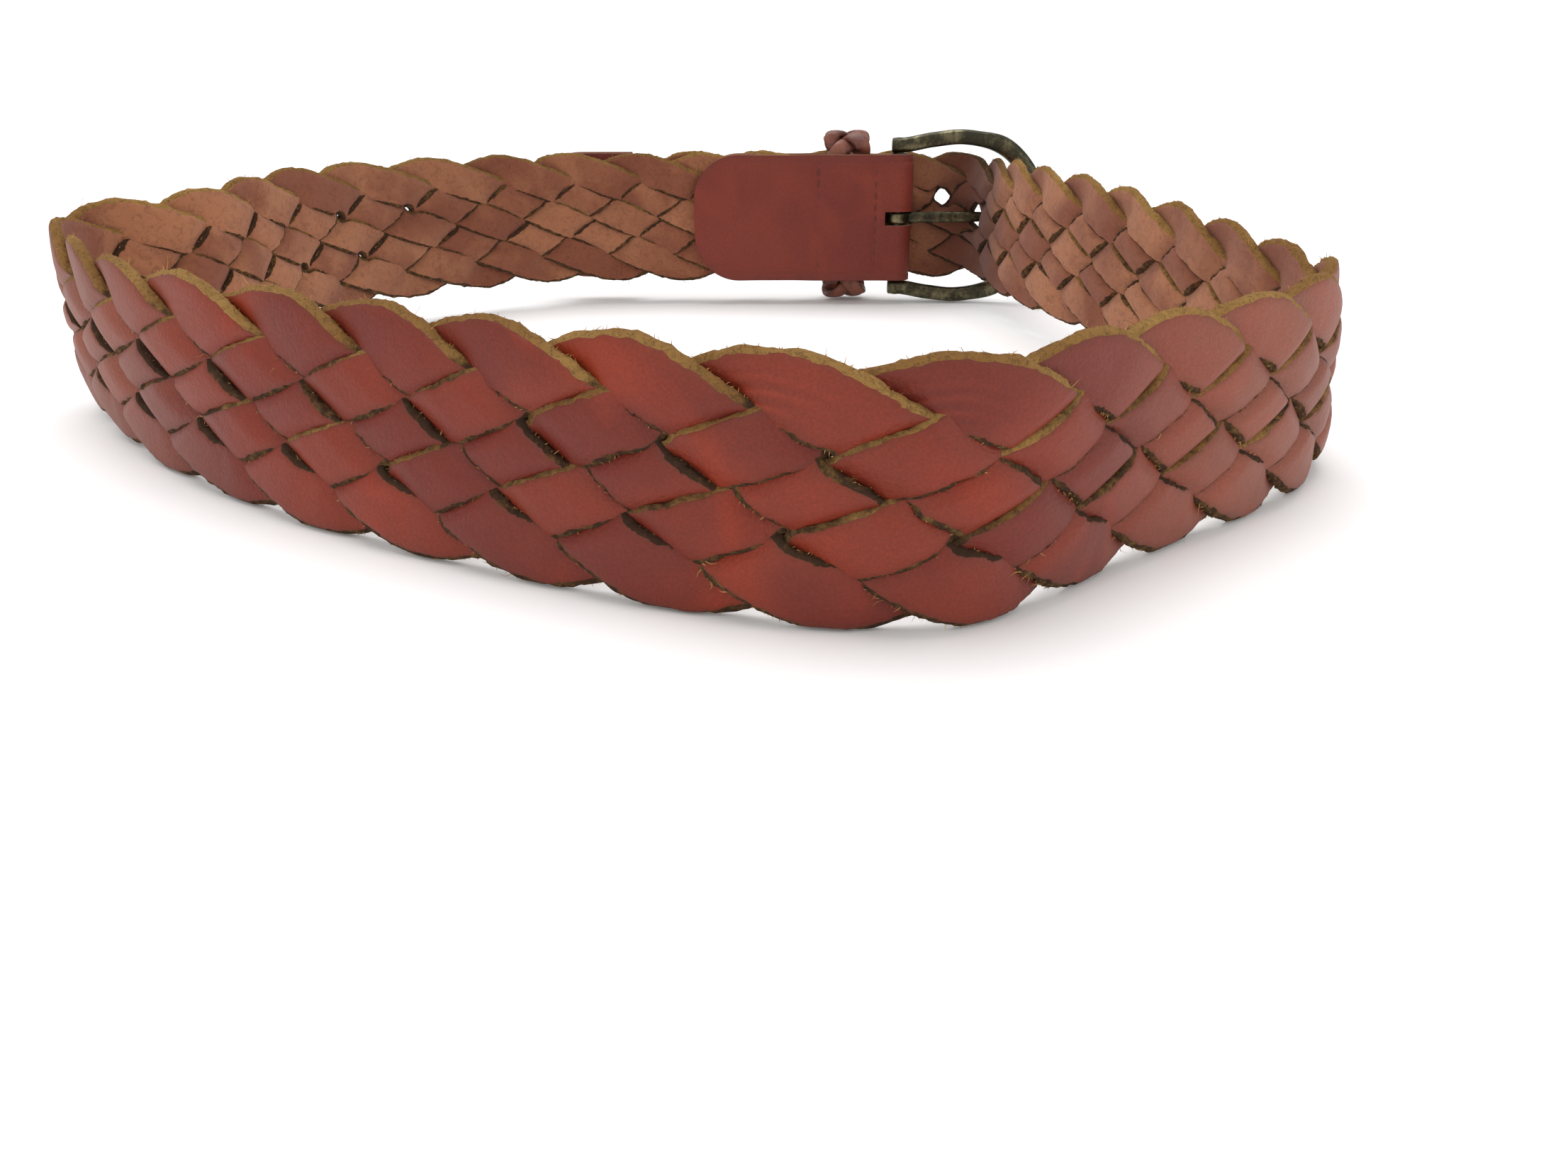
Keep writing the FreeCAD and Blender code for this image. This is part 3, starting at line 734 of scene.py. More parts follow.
# ------------------------------------------------------------------------- plait
@dataclass
class Plait:
    """Six flat laces plaited into the strap, with scalloped edges of raw leather."""

    strap: Strap
    finishes: Finishes
    lace_count: int = 6
    width: float = 39.2
    lace_width: float = 10.0
    width_change: float = 1.0       # wider on the way down, narrower on the way up
    thickness: float = 2.6
    level: float = 1.50
    edge_bulge: float = 0.62        # raw edge stands out of the cut line
    settle: float = 0.60            # laces lie nearer the middle where they turn
    settle_reach: float = 0.33      # in pitches
    fold_reach: float = 0.42        # in pitches
    fold_depth: float = 0.45        # outer edge pressed down where it turns
    roll: float = 0.22              # upper edge of each lace stands proud
    bow: float = 0.32               # each lace is arched across
    pitch: float = 22.5
    roundness: float = 0.92
    skew: float = 0.6
    hole_radius: float = 5.6
    gap_reach: float = 25.0         # no gap is felt further away
    hold: float = 0.78              # share of a lace's width that is moved apart as one
    waist: float = 0.06             # drawn in where it passes through the frame
    waist_middle: float = -6.0
    waist_reach: float = 17.0
    tip_cover: float = 15.0
    step: float = 0.025
    tab_squeeze: float = 0.76       # laces pressed flatter between the leaves of the tab
    squeezed: float = 46.0          # length of strap between those leaves
    lapped: float = 24.0            # past the hole, where the free end lies on the tab
    squeeze_run: float = 14.0
    start_margin: float = 6.0
    end_margin: float = 4.0
    pitch_length: float = 26.0      # of lace in one pitch
    draw_step: float = 60.0
    drawn: tuple = (0.0, -0.5, 3.7, 9.8, 10.9, 10.7, 8.0, 4.4, -7.3, -9.5, 1.5, -3.0, -2.4, -2.8)
    # Stretched holes in the even plait: place, height and radius.
    gaps: tuple = ((14.25, 6.0, 4.2), (-368.25, 6.0, 2.0), (-345.75, 6.0, 2.0),
                   (-323.25, 6.0, 1.9), (-396.75, -6.0, 2.0), (-329.25, -6.0, 2.0),
                   (-306.75, -6.0, 2.0), (-615.75, 6.0, 2.3), (-638.25, 6.0, 2.3),
                   (-621.75, -6.0, 2.3), (-599.25, -6.0, 2.3))
    creased: dict = field(default_factory=lambda: {-15: 0.8, -14: 0.55, -4: 0.3, -20: 0.25})
    fibres: int = 30000
    fibre_width: float = 0.065      # half of it
    fibre_root: float = 0.12        # sunk into the edge
    fibre_floor: float = 0.02

    TOP = (0.97, 0.90, 0.72, 0.40, 0.0, -0.40, -0.72, -0.90, -0.97)
    TOP_RISE = (0.88, 0.97, 1.0, 1.0, 1.0, 1.0, 1.0, 0.97, 0.88)
    SIDE = (0.62, 0.22, -0.22, -0.62)
    SIDE_BULGE = (0.70, 1.0, 1.0, 0.70)

    def __post_init__(self) -> None:
        """Work out the section and what the laces share."""
        top = len(self.TOP)
        side = len(self.SIDE)
        self.across = np.array(self.TOP + (-1.0,) * side + self.TOP[::-1] + (1.0,) * side)
        self.rise = np.array(self.TOP_RISE + self.SIDE + tuple(-r for r in self.TOP_RISE)
                             + tuple(-r for r in self.SIDE))
        flat = (0.0,) * top
        self.bulge = np.array(flat + tuple(-b for b in self.SIDE_BULGE) + flat + self.SIDE_BULGE)
        kinds = [Layer.GRAIN] * (top - 1) + [Layer.CUT] * (side + 1)
        kinds += [Layer.FLESH] * (top - 1) + [Layer.CUT] * (side + 1)
        self.kinds = [kind.value for kind in kinds]
        self.swing = (self.width - self.lace_width) / 2
        self.traverse = self.lace_count / 2
        self.shear = self.skew / 2 / self.swing * self.pitch
        self.steepest = float(self.height(np.array([self.traverse / 2]))[1][0])
        self.levels = self.level_knots()
        self.sections: list[Array] = []
        self.openings = [(0.0, 0.0, self.hole_radius)]
        self.openings += [(float(self.draw(np.array([s]))[0]), h, radius)
                          for s, h, radius in self.gaps]

    def height(self, u: Array) -> tuple[Array, Array]:
        """Way of a lace's middle across the strap.

        Args:
            u: Phase, in pitches.

        Returns:
            Its height and its slope at each phase.
        """
        angle = math.pi * u / self.traverse
        limit = math.asin(self.roundness)
        bend = np.sqrt(1 - (self.roundness * np.cos(angle)) ** 2)
        height = self.swing * np.arcsin(self.roundness * np.cos(angle)) / limit
        steepness = -self.swing * self.roundness * np.sin(angle) * math.pi
        slope = steepness / (limit * bend * self.traverse)
        return height, slope

    def level_knots(self) -> tuple[Array, Array]:
        """Where a lace climbs or dives.

        Returns:
            Phases of the knots and the level at each, 1 for over and -1 for under.
        """
        flat = 0.07                     # half of each level stretch, in pitches
        knots = []
        for side, (begin, end) in enumerate(((0.10, -0.04), (0.30, -0.30))):
            base = side * self.traverse
            for k in range(1, self.lace_count):
                sign = 1.0 if k % 2 != side else -1.0
                low = base + k / 2 - flat
                high = base + k / 2 + flat
                if k == 1:
                    low = base + begin
                if k == self.lace_count - 1:
                    high = base + self.traverse + end
                knots += [(low, sign), (high, sign)]
        return np.array([u for u, _ in knots]), np.array([sign for _, sign in knots])

    def level_at(self, u: Array) -> Array:
        """Level of a lace's middle.

        Args:
            u: Phase, in pitches.

        Returns:
            From -1, under, to 1, over.
        """
        period = float(self.lace_count)
        places, signs = self.levels
        places = np.concatenate([[places[-1] - period], places, [places[0] + period]])
        signs = np.concatenate([[signs[-1]], signs, [signs[0]]])
        return np.sin(0.5 * math.pi * np.interp(np.mod(u, period), places, signs))

    def draw(self, s: Array) -> Array:
        """Draw the even plait out, or close it up.

        Args:
            s: Place along the even plait.

        Returns:
            Place along the strap.
        """
        shift = np.array(self.drawn)
        last = len(shift) - 1
        steps = np.clip(-s / self.draw_step, 0, last)
        k = np.minimum(steps.astype(int), last - 1)
        u = steps - k
        left, right = shift[k], shift[k + 1]
        slope_left = (right - shift[np.maximum(k - 1, 0)]) / 2
        slope_right = (shift[np.minimum(k + 2, last)] - left) / 2
        return s + cubic(u, left, right, slope_left, slope_right)

    def part(self, s: Array, h: Array) -> tuple[Array, Array]:
        """Move points of the strap away from the prong hole and the stretched gaps.

        Args:
            s: Place of each point along the strap.
            h: Height of each point.

        Returns:
            The places and heights after the move.
        """
        for centre, height, radius in self.openings:
            ds, dh = s - centre, h - height
            distance = np.maximum(np.hypot(ds, dh), 1e-6)
            scale = (distance ** 3 + radius ** 3) ** (1 / 3) / distance
            scale = np.where(distance > self.gap_reach, 1.0, scale)
            s, h = centre + ds * scale, height + dh * scale
        return s, h

    def lace(self, number: int) -> bpy.types.Object:
        """One lace from end to end.

        Args:
            number: Which lace, from 0.

        Returns:
            The lace, in place of its plain solid.
        """
        first = self.strap.s[0]
        last = self.strap.s[-1] - self.tip_cover
        turns = self.lace_count * (int(abs(first) / self.pitch / self.lace_count) + 2)
        u = np.arange(-turns, turns, self.step)
        height, slope = self.height(u)
        middle_s = (u + number) * self.pitch + self.shear * height
        real = self.draw(middle_s)
        keep = (real > first + self.start_margin) & (real < last - self.end_margin)
        u, height, slope, middle_s = u[keep], height[keep], slope[keep], middle_s[keep]
        along = unit(np.stack([self.pitch + self.shear * slope, slope], 1))
        left = np.stack([-along[:, 1], along[:, 0]], 1)
        ratio = slope / self.steepest
        down = np.array([self.pitch + self.shear * self.steepest, self.steepest])
        rise = np.array([self.pitch - self.shear * self.steepest, -self.steepest])
        angle = math.acos(down @ rise / np.linalg.norm(down) / np.linalg.norm(rise))
        lean = ratio / math.tan(angle)
        length = u * self.pitch_length
        half = (self.lace_width + self.width_change * ratio) / 2
        half = half * (1 + Uneven.WIDTH.at(length, number))
        swing = 1 + Uneven.SWING.at(length, number)
        rng = np.random.default_rng(SEEDS_PER_LACE * number + RAGGED_SEED)
        ring = len(self.across)
        edge = np.abs(self.across) > 0.95
        clumps = np.stack([wander(length, SEEDS_PER_LACE * number + CLUMP_SEED + k, 1.7)
                           for k in range(ring)], 1)
        ragged = edge * (rng.normal(0, 0.085, (len(u), ring)) + 0.20 * clumps)
        ragged += self.bulge * self.edge_bulge * (1 + Uneven.BULGE.at(length, number)[:, None])
        drift = np.where(self.across > 0, Uneven.UPPER_EDGE.at(length, number)[:, None],
                         -Uneven.LOWER_EDGE.at(length, number)[:, None])
        offset = self.across * half[:, None] + ragged + drift * np.abs(self.across) ** 3
        spread = offset * lean[:, None]
        s = middle_s[:, None] + left[:, :1] * offset + along[:, :1] * spread
        h = (height * swing)[:, None] + left[:, 1:] * offset + along[:, 1:] * spread
        turning = np.mod(u + self.traverse / 2, self.traverse) - self.traverse / 2
        settled = 1 - self.settle * bell(turning, 0.0, self.settle_reach)
        over = (self.level_at(u) * settled)[:, None]
        arch = self.bow * (1 - 1.6 * self.across ** 2) * over
        n = over * self.level + self.rise * self.thickness / 2 + arch + self.roll * self.across
        n += self.level * Uneven.LEVEL.at(length, number)[:, None]
        n += self.across * Uneven.TWIST.at(length, number)[:, None]
        fold = bell(turning, 0.0, self.fold_reach)[:, None]
        outer = np.clip(self.across * np.sign(height)[:, None], 0, 1)
        n -= self.fold_depth * fold * outer ** 2
        held = self.hold * half[:, None]
        inset = np.clip(offset, -held, held)
        near_s = self.draw(middle_s[:, None] + (left[:, :1] + along[:, :1] * lean[:, None]) * inset)
        near_h = (height * swing)[:, None] + (left[:, 1:] + along[:, 1:] * lean[:, None]) * inset
        moved_s, moved_h = self.part(near_s, near_h)
        s, h = self.draw(s) + moved_s - near_s, h + moved_h - near_h
        s = np.clip(s, first, last)
        h = h * (1 - self.waist * bell(s, self.waist_middle, self.waist_reach, 4))
        free = blend((s - first - self.squeezed) / self.squeeze_run)
        free *= blend((self.lapped - s) / self.squeeze_run)
        n *= self.tab_squeeze + (1 - self.tab_squeeze) * free
        places = self.strap.points(s, h, n)
        self.sections.append(places)
        crease = self.crease_mask(u, number)
        tone = Uneven.DYE.at(length, number) + Uneven.LONG_DYE.at(length, number)
        # Painted shade: darker behind the prong and, fainter, on the inside of the loop near the
        # start of the strap.
        shade = bell(s, -4.0, 27.0, 4) + 0.30 * bell(s, first + 95.0, 65.0, 4)
        attributes = {"across": np.tile(self.across, len(u)),
                      "tone": np.repeat(tone, ring),
                      "shade": shade.ravel(),
                      # paler stretches towards the right and the far left of the loop
                      "paler_stretch": (blend((s + 290) / 70) + blend((-s - 420) / 80)).ravel(),
                      # painted shade and dirt on the raw edges
                      "grime": self.grime(h, ratio, length, number).ravel(),
                      "crease": (crease[:, None] * np.clip(0.75 - outer, 0, 1)).ravel()}
        faces = tube_faces(len(u), ring, closed=False)
        layers = self.kinds * (len(u) - 1) + [Layer.CUT.value] * 2
        piece = make_piece(f"plaited_lace_{number + 1}", places.reshape(-1, 3), faces, layers,
                           [self.finishes.lace_grain, self.finishes.lace_flesh,
                            self.finishes.lace_edge],
                           attributes)
        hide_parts(f"lace_{number + 1}")
        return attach(piece, "belt")

    def grime(self, h: Array, ratio: Array, length: Array, number: int) -> Array:
        """How dark a raw edge is with dirt and painted shade: least on top, most inside and below.

        Args:
            h: Height of each point.
            ratio: Slope of the lace at each station, 1 where it goes down fastest.
            length: Place along the lace.
            number: Which lace, from 0.

        Returns:
            From 0, bare and lit, to 1, dark.
        """
        # Lighter high up and on the upper edges of laces running one way, which face the light;
        # lower edges stay dark: painted light and shade, with some dirt.
        lit_and_clean = blend((h - 9.0) / 8.0) + 0.38 * np.clip(-ratio, -0.45, 1.0)[:, None]
        lit_and_clean += 0.16 + Uneven.GRIME.at(length, number)[:, None] + 0.012 * h
        return 1 - np.clip(lit_and_clean * (self.across > 0), 0, 1) - 0.25 * (self.across <= 0)

    def crease_mask(self, u: Array, number: int) -> Array:
        """How strongly a lace is creased where it turns, scallop by scallop.

        Args:
            u: Phase, in pitches.
            number: Which lace, from 0.

        Returns:
            From 0, smooth, to 1 at each station.
        """
        near = np.round(u / self.lace_count).astype(int) * self.lace_count
        mask = np.zeros(len(u))
        for scallop, strength in self.creased.items():
            here = near + number == scallop
            mask += here * strength * bell(u - near, -0.10, 0.30)
        return mask

    def loose_fibres(self) -> bpy.types.Object:
        """Short fibres standing out of the raw edges of every lace.

        Returns:
            One piece with every fibre.
        """
        rng = np.random.default_rng(FIBRE_SEED)
        sides = (len(self.TOP) + 1, 2 * len(self.TOP) + len(self.SIDE) + 1)
        kinds = list(Fibre)
        points, faces, tones = [], [], []
        for sections in self.sections:
            for side in sides:
                count = self.fibres // (2 * self.lace_count)
                station = rng.integers(2, len(sections) - 2, count)
                layer = side + rng.integers(-1, 2, count)
                root = sections[station, layer]
                out = unit(root - sections[station, len(self.TOP) // 2])
                forward = unit(sections[station + 2, layer] - sections[station - 2, layer])
                kind = rng.choice(len(kinds), count, p=[k.value[2] for k in kinds])
                low = np.array([k.value[0] for k in kinds])[kind]
                high = np.array([k.value[1] for k in kinds])[kind]
                size = rng.uniform(low, high)[:, None]
                way = out + forward * rng.normal(0, 0.8, (count, 1))
                way = unit(way + rng.normal(0, 0.45, (count, 3)))
                turn = unit(way + rng.normal(0, 0.5, (count, 3)))
                wide = self.fibre_width * unit(np.cross(way, rng.normal(0, 1, (count, 3))))
                root = root - out * self.fibre_root
                middle = root + way * size * 0.55
                tip = middle + turn * size * 0.5
                for end in (middle, tip):
                    end[:, 2] = np.maximum(end[:, 2], self.fibre_floor)
                base = sum(len(p) for p in points)
                points.append(np.stack([root - wide, root + wide, middle + wide * 0.7,
                                        middle - wide * 0.7, tip], 1).reshape(-1, 3))
                starts = base + 5 * np.arange(count)
                faces += [(k, k + 1, k + 2, k + 3) for k in starts.tolist()]
                faces += [(k + 3, k + 2, k + 4) for k in starts.tolist()]
                tones.append(np.repeat(rng.uniform(-1, 1, count), 5))
        piece = make_piece("edge_fibres", np.vstack(points), faces, [0] * len(faces),
                           [self.finishes.fibre], {"tone": np.concatenate(tones)})
        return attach(piece, "belt")

    def build(self) -> None:
        """Build every lace and the fibres on their edges."""
        for number in range(self.lace_count):
            piece = self.lace(number)
            log_piece(piece)
        piece = self.loose_fibres()
        log_piece(piece)


# -------------------------------------------------------------- flat leather work
@dataclass
class Leather:
    """Flat leather cut to an outline and laid along a path, with cut edges all round."""

    finishes: Finishes
    bar: Spot
    half: float = 19.7
    thickness: float = 2.0
    edge_round: float = 0.45
    seam_inset: float = 2.1
    stitch: float = 3.6

    def slab(self, name: str, lengths: Array, heights: Array, half_at: Array, open_cells: Array,
             seams: tuple[float, ...] = ()) -> bpy.types.Object:
        """Closed slab over a grid of the leather.

        Args:
            name: Name of the piece.
            lengths: Places along the path.
            heights: Places across, from -1 to 1.
            half_at: Half the height at each place along.
            open_cells: True for each cell of the grid that is cut out.
            seams: Places along the path of sewn seams, pressed into both faces.

        Returns:
            The piece, with its edges eased.
        """
        rows, columns = len(lengths), len(heights)
        length = np.repeat(lengths, columns)
        height = np.tile(heights, rows) * np.repeat(half_at, columns)
        middle, normal = self.path(length)
        swell = 0.22 * np.sin(length / 7.3 + height / 9.1)
        swell += 0.18 * np.sin(length / 4.1 - height / 5.3 + 1.7)
        press = sum((bell(length, seam, 0.75) * (np.abs(height) < self.half - 2.2)
                     for seam in seams), 0 * length)
        line = bell(np.abs(height), self.half - self.seam_inset, 0.35)
        offset = self.thickness / 2 + 0.6 * swell - 0.34 * press - 0.12 * line
        back = -self.thickness / 2 + 0.6 * swell
        up = np.stack([0 * height, 0 * height, height], 1)
        faces_out = middle + normal * offset[:, None] + up
        faces_in = middle + normal * back[:, None] + up
        index = np.arange(rows * columns).reshape(rows, columns)
        a, b, c, d = index[:-1, :-1], index[1:, :-1], index[1:, 1:], index[:-1, 1:]
        solid = ~open_cells
        quads = np.stack([a[solid], b[solid], c[solid], d[solid]], 1)
        total = rows * columns
        faces = quads.tolist() + (quads[:, ::-1] + total).tolist()
        layers = [Layer.GRAIN.value] * len(quads) + [Layer.FLESH.value] * len(quads)
        edges: dict[tuple[int, int], tuple[int, int]] = {}
        for quad in quads.tolist():
            for k in range(4):
                pair = (quad[k], quad[(k + 1) % 4])
                if pair[::-1] in edges:
                    del edges[pair[::-1]]
                else:
                    edges[pair] = pair
        for one, two in edges.values():
            faces.append([two, one, one + total, two + total])
            layers.append(Layer.CUT.value)
        points = np.vstack([faces_out, faces_in])
        across = np.tile(np.tile(heights, rows) * 0.985, 2)
        dye = 0.5 * np.sin(length / 11.0) + 0.4 * np.sin(height / 6.0 + length / 17.0)
        tone = np.tile(dye, 2)
        piece = make_piece(name, points, faces, layers,
                           [self.finishes.tab_grain, self.finishes.lace_flesh,
                            self.finishes.tab_edge],
                           {"across": across, "tone": tone})
        self.ease(piece)
        return piece

    def path(self, length: Array) -> tuple[Array, Array]:
        """Middle and outward normal of the leather; each kind of piece gives its own."""
        raise NotImplementedError

    def corner_half(self, end: Array, corner: float) -> Array:
        """Half the height at each distance from a round-cornered end."""
        inside = np.clip(corner - end, 0, corner)
        return self.half - corner + np.sqrt(corner ** 2 - inside ** 2)

    def ease(self, piece: bpy.types.Object) -> None:
        """Round the cut edges of a slab a little and drop unused points.

        Args:
            piece: The slab.
        """
        shape = bmesh.new()
        shape.from_mesh(piece.data)
        bmesh.ops.delete(shape, geom=[v for v in shape.verts if not v.link_faces], context="VERTS")
        bmesh.ops.recalc_face_normals(shape, faces=shape.faces)
        sharp = [edge for edge in shape.edges
                 if len(edge.link_faces) == 2 and edge.calc_face_angle() > math.radians(50)]
        bmesh.ops.bevel(shape, geom=sharp, offset=self.edge_round * MM, offset_type="OFFSET",
                        segments=3, profile=0.5, affect="EDGES", clamp_overlap=True, material=-1)
        for face in shape.faces:
            face.smooth = True
        shape.to_mesh(piece.data)
        shape.free()

    def stitches(self, name: str, body: str, t: float, n_faces: tuple[float, float], margin: float,
                 node: str) -> bpy.types.Object:
        """Row of stitches through the leather, one short run for each on both faces.

        Args:
            name: Name of the piece.
            body: Body that it rides.
            t: Place of the row, from the bar.
            n_faces: Depths of the two faces, from the bar.
            margin: Bare leather above and below the row.
            node: The plain solid that it replaces.

        Returns:
            The row.
        """
        pitch = self.stitch
        count = int(2 * (self.half - margin) / pitch)
        x, y, z = self.bar
        ring, stations = 8, 9
        angle = np.linspace(0, 2 * math.pi, ring, endpoint=False)
        u = np.linspace(0, 1, stations)
        points, faces = [], []
        for face, n in zip((-1, 1), n_faces):
            for k in range(count):
                bottom = z - count * pitch / 2 + k * pitch
                rise = bottom + 0.35 + u * (pitch - 0.7)
                sink = 0.55 * (2 * u - 1) ** 4
                radius = 0.29 * np.sqrt(np.clip(1 - (2 * u - 1) ** 6 * 0.75, 0.05, 1))
                centre_x = x + t + 0.16 * (u - 0.5)
                centre_y = y + n + face * (0.02 - sink)
                ring_x = centre_x[:, None] + radius[:, None] * np.cos(angle)
                ring_y = centre_y[:, None] + radius[:, None] * np.sin(angle)
                ring_z = np.repeat(rise[:, None], ring, 1)
                base = sum(len(p) for p in points)
                points.append(np.stack([ring_x, ring_y, ring_z], -1).reshape(-1, 3))
                faces += [tuple(base + i for i in face_points)
                          for face_points in tube_faces(stations, ring, closed=False)]
        piece = make_piece(name, np.vstack(points), faces, [0] * len(faces), [self.finishes.thread])
        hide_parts(node)
        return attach(piece, body)


@dataclass
class FoldedTab(Leather):
    """Leather folded round the bar and sewn over the start of the strap."""

    length: float = 67.0
    inner: float = 2.49
    corner: float = 14.5
    slot_length: float = 4.5
    slot_half: float = 2.2
    seams: tuple = (-7.7, -26.4)

    def path(self, length: Array) -> tuple[Array, Array]:
        """Along the inside leaf, round the bar and back along the outside leaf.

        Args:
            length: Place along the leather, 0 where the fold begins.

        Returns:
            Middle and outward normal at each place.
        """
        x, y, z = self.bar
        radius = self.inner + self.thickness / 2
        arc = math.pi * radius
        angle = (np.clip(length, 0, arc) / radius) - math.pi / 2
        past = np.where(length < 0, -length, np.where(length > arc, length - arc, 0.0))
        place_x = x + radius * np.cos(angle) - past
        place_y = y + radius * np.sin(angle)
        normal = np.stack([np.cos(angle), np.sin(angle), 0 * angle], 1)
        return np.stack([place_x, place_y, 0 * angle + z], 1), normal

    def build(self) -> None:
        """Build the tab and its two seams."""
        radius = self.inner + self.thickness / 2
        arc = math.pi * radius
        leaf = np.linspace(-self.length, -self.slot_length, 68)
        bend = self.corner * (1 - np.cos(np.linspace(0, math.pi / 2, 16)))
        leaf = np.concatenate([bend - self.length, leaf[leaf > -self.length + self.corner + 0.4]])
        near = np.linspace(-self.slot_length, 0, 10)[1:]
        fold = np.linspace(0, arc, 18)[1:]
        lengths = np.concatenate([leaf, near, fold, (arc - near[:-1][::-1]), arc - leaf[::-1]])
        slot = self.slot_half / self.half
        upper = np.concatenate([np.linspace(slot, 0.86, 22), np.linspace(0.86, 1.0, 12)[1:]])
        heights = np.concatenate([-upper[::-1], np.linspace(-slot, slot, 6)[1:-1], upper])
        end = np.minimum(lengths + self.length, arc + self.length - lengths)
        half_at = self.corner_half(end, self.corner) + 0.12 * wander(lengths, 41, 9.0)
        mid_length = (lengths[1:] + lengths[:-1]) / 2
        mid_height = (heights[1:] + heights[:-1]) / 2
        in_slot = (mid_length > -self.slot_length) & (mid_length < arc + self.slot_length)
        open_cells = in_slot[:, None] & (np.abs(mid_height) < slot)[None, :]
        seams = [seam for t in self.seams for seam in (t, arc - t)]
        piece = self.slab("folded_tab", lengths, heights, half_at, open_cells, tuple(seams))
        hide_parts("tab")
        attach(piece, "belt")
        log_piece(piece)
        depth = self.inner + self.thickness - 0.42
        for name, t in zip(("seam_bar", "seam_keeper"), self.seams):
            row = self.stitches(f"{name}_stitches", "belt", t, (-depth, depth), 3.0, name)
            log_piece(row)


@dataclass
class TipLeaf(Leather):
    """One of the two leaves sewn over the free end of the strap, which meet at its end."""

    name: str = "tip"
    node: str = "tip_outer"
    t_end: float = -118.0
    length: float = 30.0
    n: float = 0.0
    apart: float = 3.1
    together: float = 0.84
    face: int = 1
    corner: float = 12.0

    def offset(self, length: Array) -> Array:
        """Distance of the leaf's middle layer from the strap's, at each place along."""
        closing = blend((self.t_end + 15.0 - length) / 9.0)
        return self.apart + (self.together - self.apart) * closing

    def path(self, length: Array) -> tuple[Array, Array]:
        """Along the back of the loop, in to the other leaf at the end.

        Args:
            length: Place from the bar.

        Returns:
            Middle and outward normal at each place.
        """
        x, y, z = self.bar
        depth = y + self.n + self.face * self.offset(length)
        middle = np.stack([x + length, depth, 0 * length + z], 1)
        return middle, np.tile([0.0, float(self.face), 0.0], (len(length), 1))

    def build(self) -> None:
        """Build the leaf."""
        lengths = np.concatenate([
            self.t_end + self.corner * (1 - np.cos(np.linspace(0, math.pi / 2, 16))),
            np.linspace(self.t_end + self.corner, self.t_end + self.length, 20)[1:]])
        heights = np.linspace(-1, 1, 44)
        half_at = self.corner_half(lengths - self.t_end, self.corner)
        open_cells = np.zeros((len(lengths) - 1, len(heights) - 1), bool)
        piece = self.slab(self.name, lengths, heights, half_at, open_cells, (self.t_end + 9.0,))
        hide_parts(self.node)
        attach(piece, "belt")
        log_piece(piece)


# ------------------------------------------------------------------------ keeper
@dataclass
class Keeper:
    """Ring of three plaited thongs that holds the free end down."""

    finishes: Finishes
    bar: Spot
    width: float = 15.0
    height: float = 48.6
    depth: float = 12.39
    centre: float = -17.05
    corner: float = 4.6
    turns: int = 5
    thong_width: float = 4.7
    thong_thickness: float = 2.2
    level: float = 1.35
    steps: int = 90

    def ring_point(self, length: float) -> tuple[float, float, float]:
        """Go round the ring's centre line.

        Args:
            length: Distance from the start of its bottom.

        Returns:
            Place (depth and height) and heading.
        """
        wide = self.depth / 2 - self.corner
        tall = self.height / 2 - self.corner
        arc = math.pi * self.corner / 2
        y, z, angle = -wide, -tall - self.corner, 0.0
        for size, bend in [(2 * wide, 0), (arc, 1), (2 * tall, 0), (arc, 1)] * 2:
            step = min(length, size)
            if bend:
                turn = step / self.corner
                y += self.corner * (math.sin(angle + turn) - math.sin(angle))
                z += self.corner * (math.cos(angle) - math.cos(angle + turn))
                angle += turn
            else:
                y += step * math.cos(angle)
                z += step * math.sin(angle)
            length -= step
            if length <= 0:
                break
        return y, z, angle

    def build(self) -> None:
        """Build the three thongs."""
        straight = 2 * (self.depth + self.height - 4 * self.corner)
        perimeter = straight + 2 * math.pi * self.corner
        lengths = np.linspace(0, perimeter, 1500)
        table = np.array([self.ring_point(value) for value in lengths])
        pitch = perimeter / self.turns
        swing = (self.width - self.thong_width) / 2
        x, y, z = self.bar
        side, face = rounded_section(16, 0.75)
        for number in range(3):
            u = np.arange(self.steps * self.turns) / self.steps
            angle = 2 * math.pi * (u + number / 3)
            wave = np.sin(2 * angle)
            slope = swing * np.cos(angle) * 2 * math.pi / pitch
            size = np.hypot(1, slope)[:, None]
            uneven = 1 + 0.04 * wander(u * pitch, 60 + number, 6.0)
            half = self.thong_width / 2 * uneven[:, None]
            offset = side * half
            place = np.mod(u[:, None] * pitch - offset * slope[:, None] / size, perimeter)
            across = (swing * np.sin(angle))[:, None] + offset / size
            out = (self.level * wave / np.sqrt(0.3 + 0.7 * wave * wave))[:, None]
            out = out + face * self.thong_thickness / 2
            ring_y, ring_z, heading = (np.interp(place, lengths, column) for column in table.T)
            points = np.stack([x + self.centre + across,
                               y + self.depth / 2 + ring_y + np.sin(heading) * out,
                               z + ring_z - np.cos(heading) * out], -1)
            faces = tube_faces(len(u), len(side), closed=True)
            tone = np.repeat(wander(u * pitch, 80 + number, 12.0), len(side))
            attributes = {"across": np.tile(side * 0.9, len(u)), "tone": tone}
            piece = make_piece(f"keeper_plait_{number + 1}", points.reshape(-1, 3), faces,
                               [0] * len(faces), [self.finishes.thong], attributes)
            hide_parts(f"keeper_thong_{number + 1}")
            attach(piece, "keeper")
            log_piece(piece)


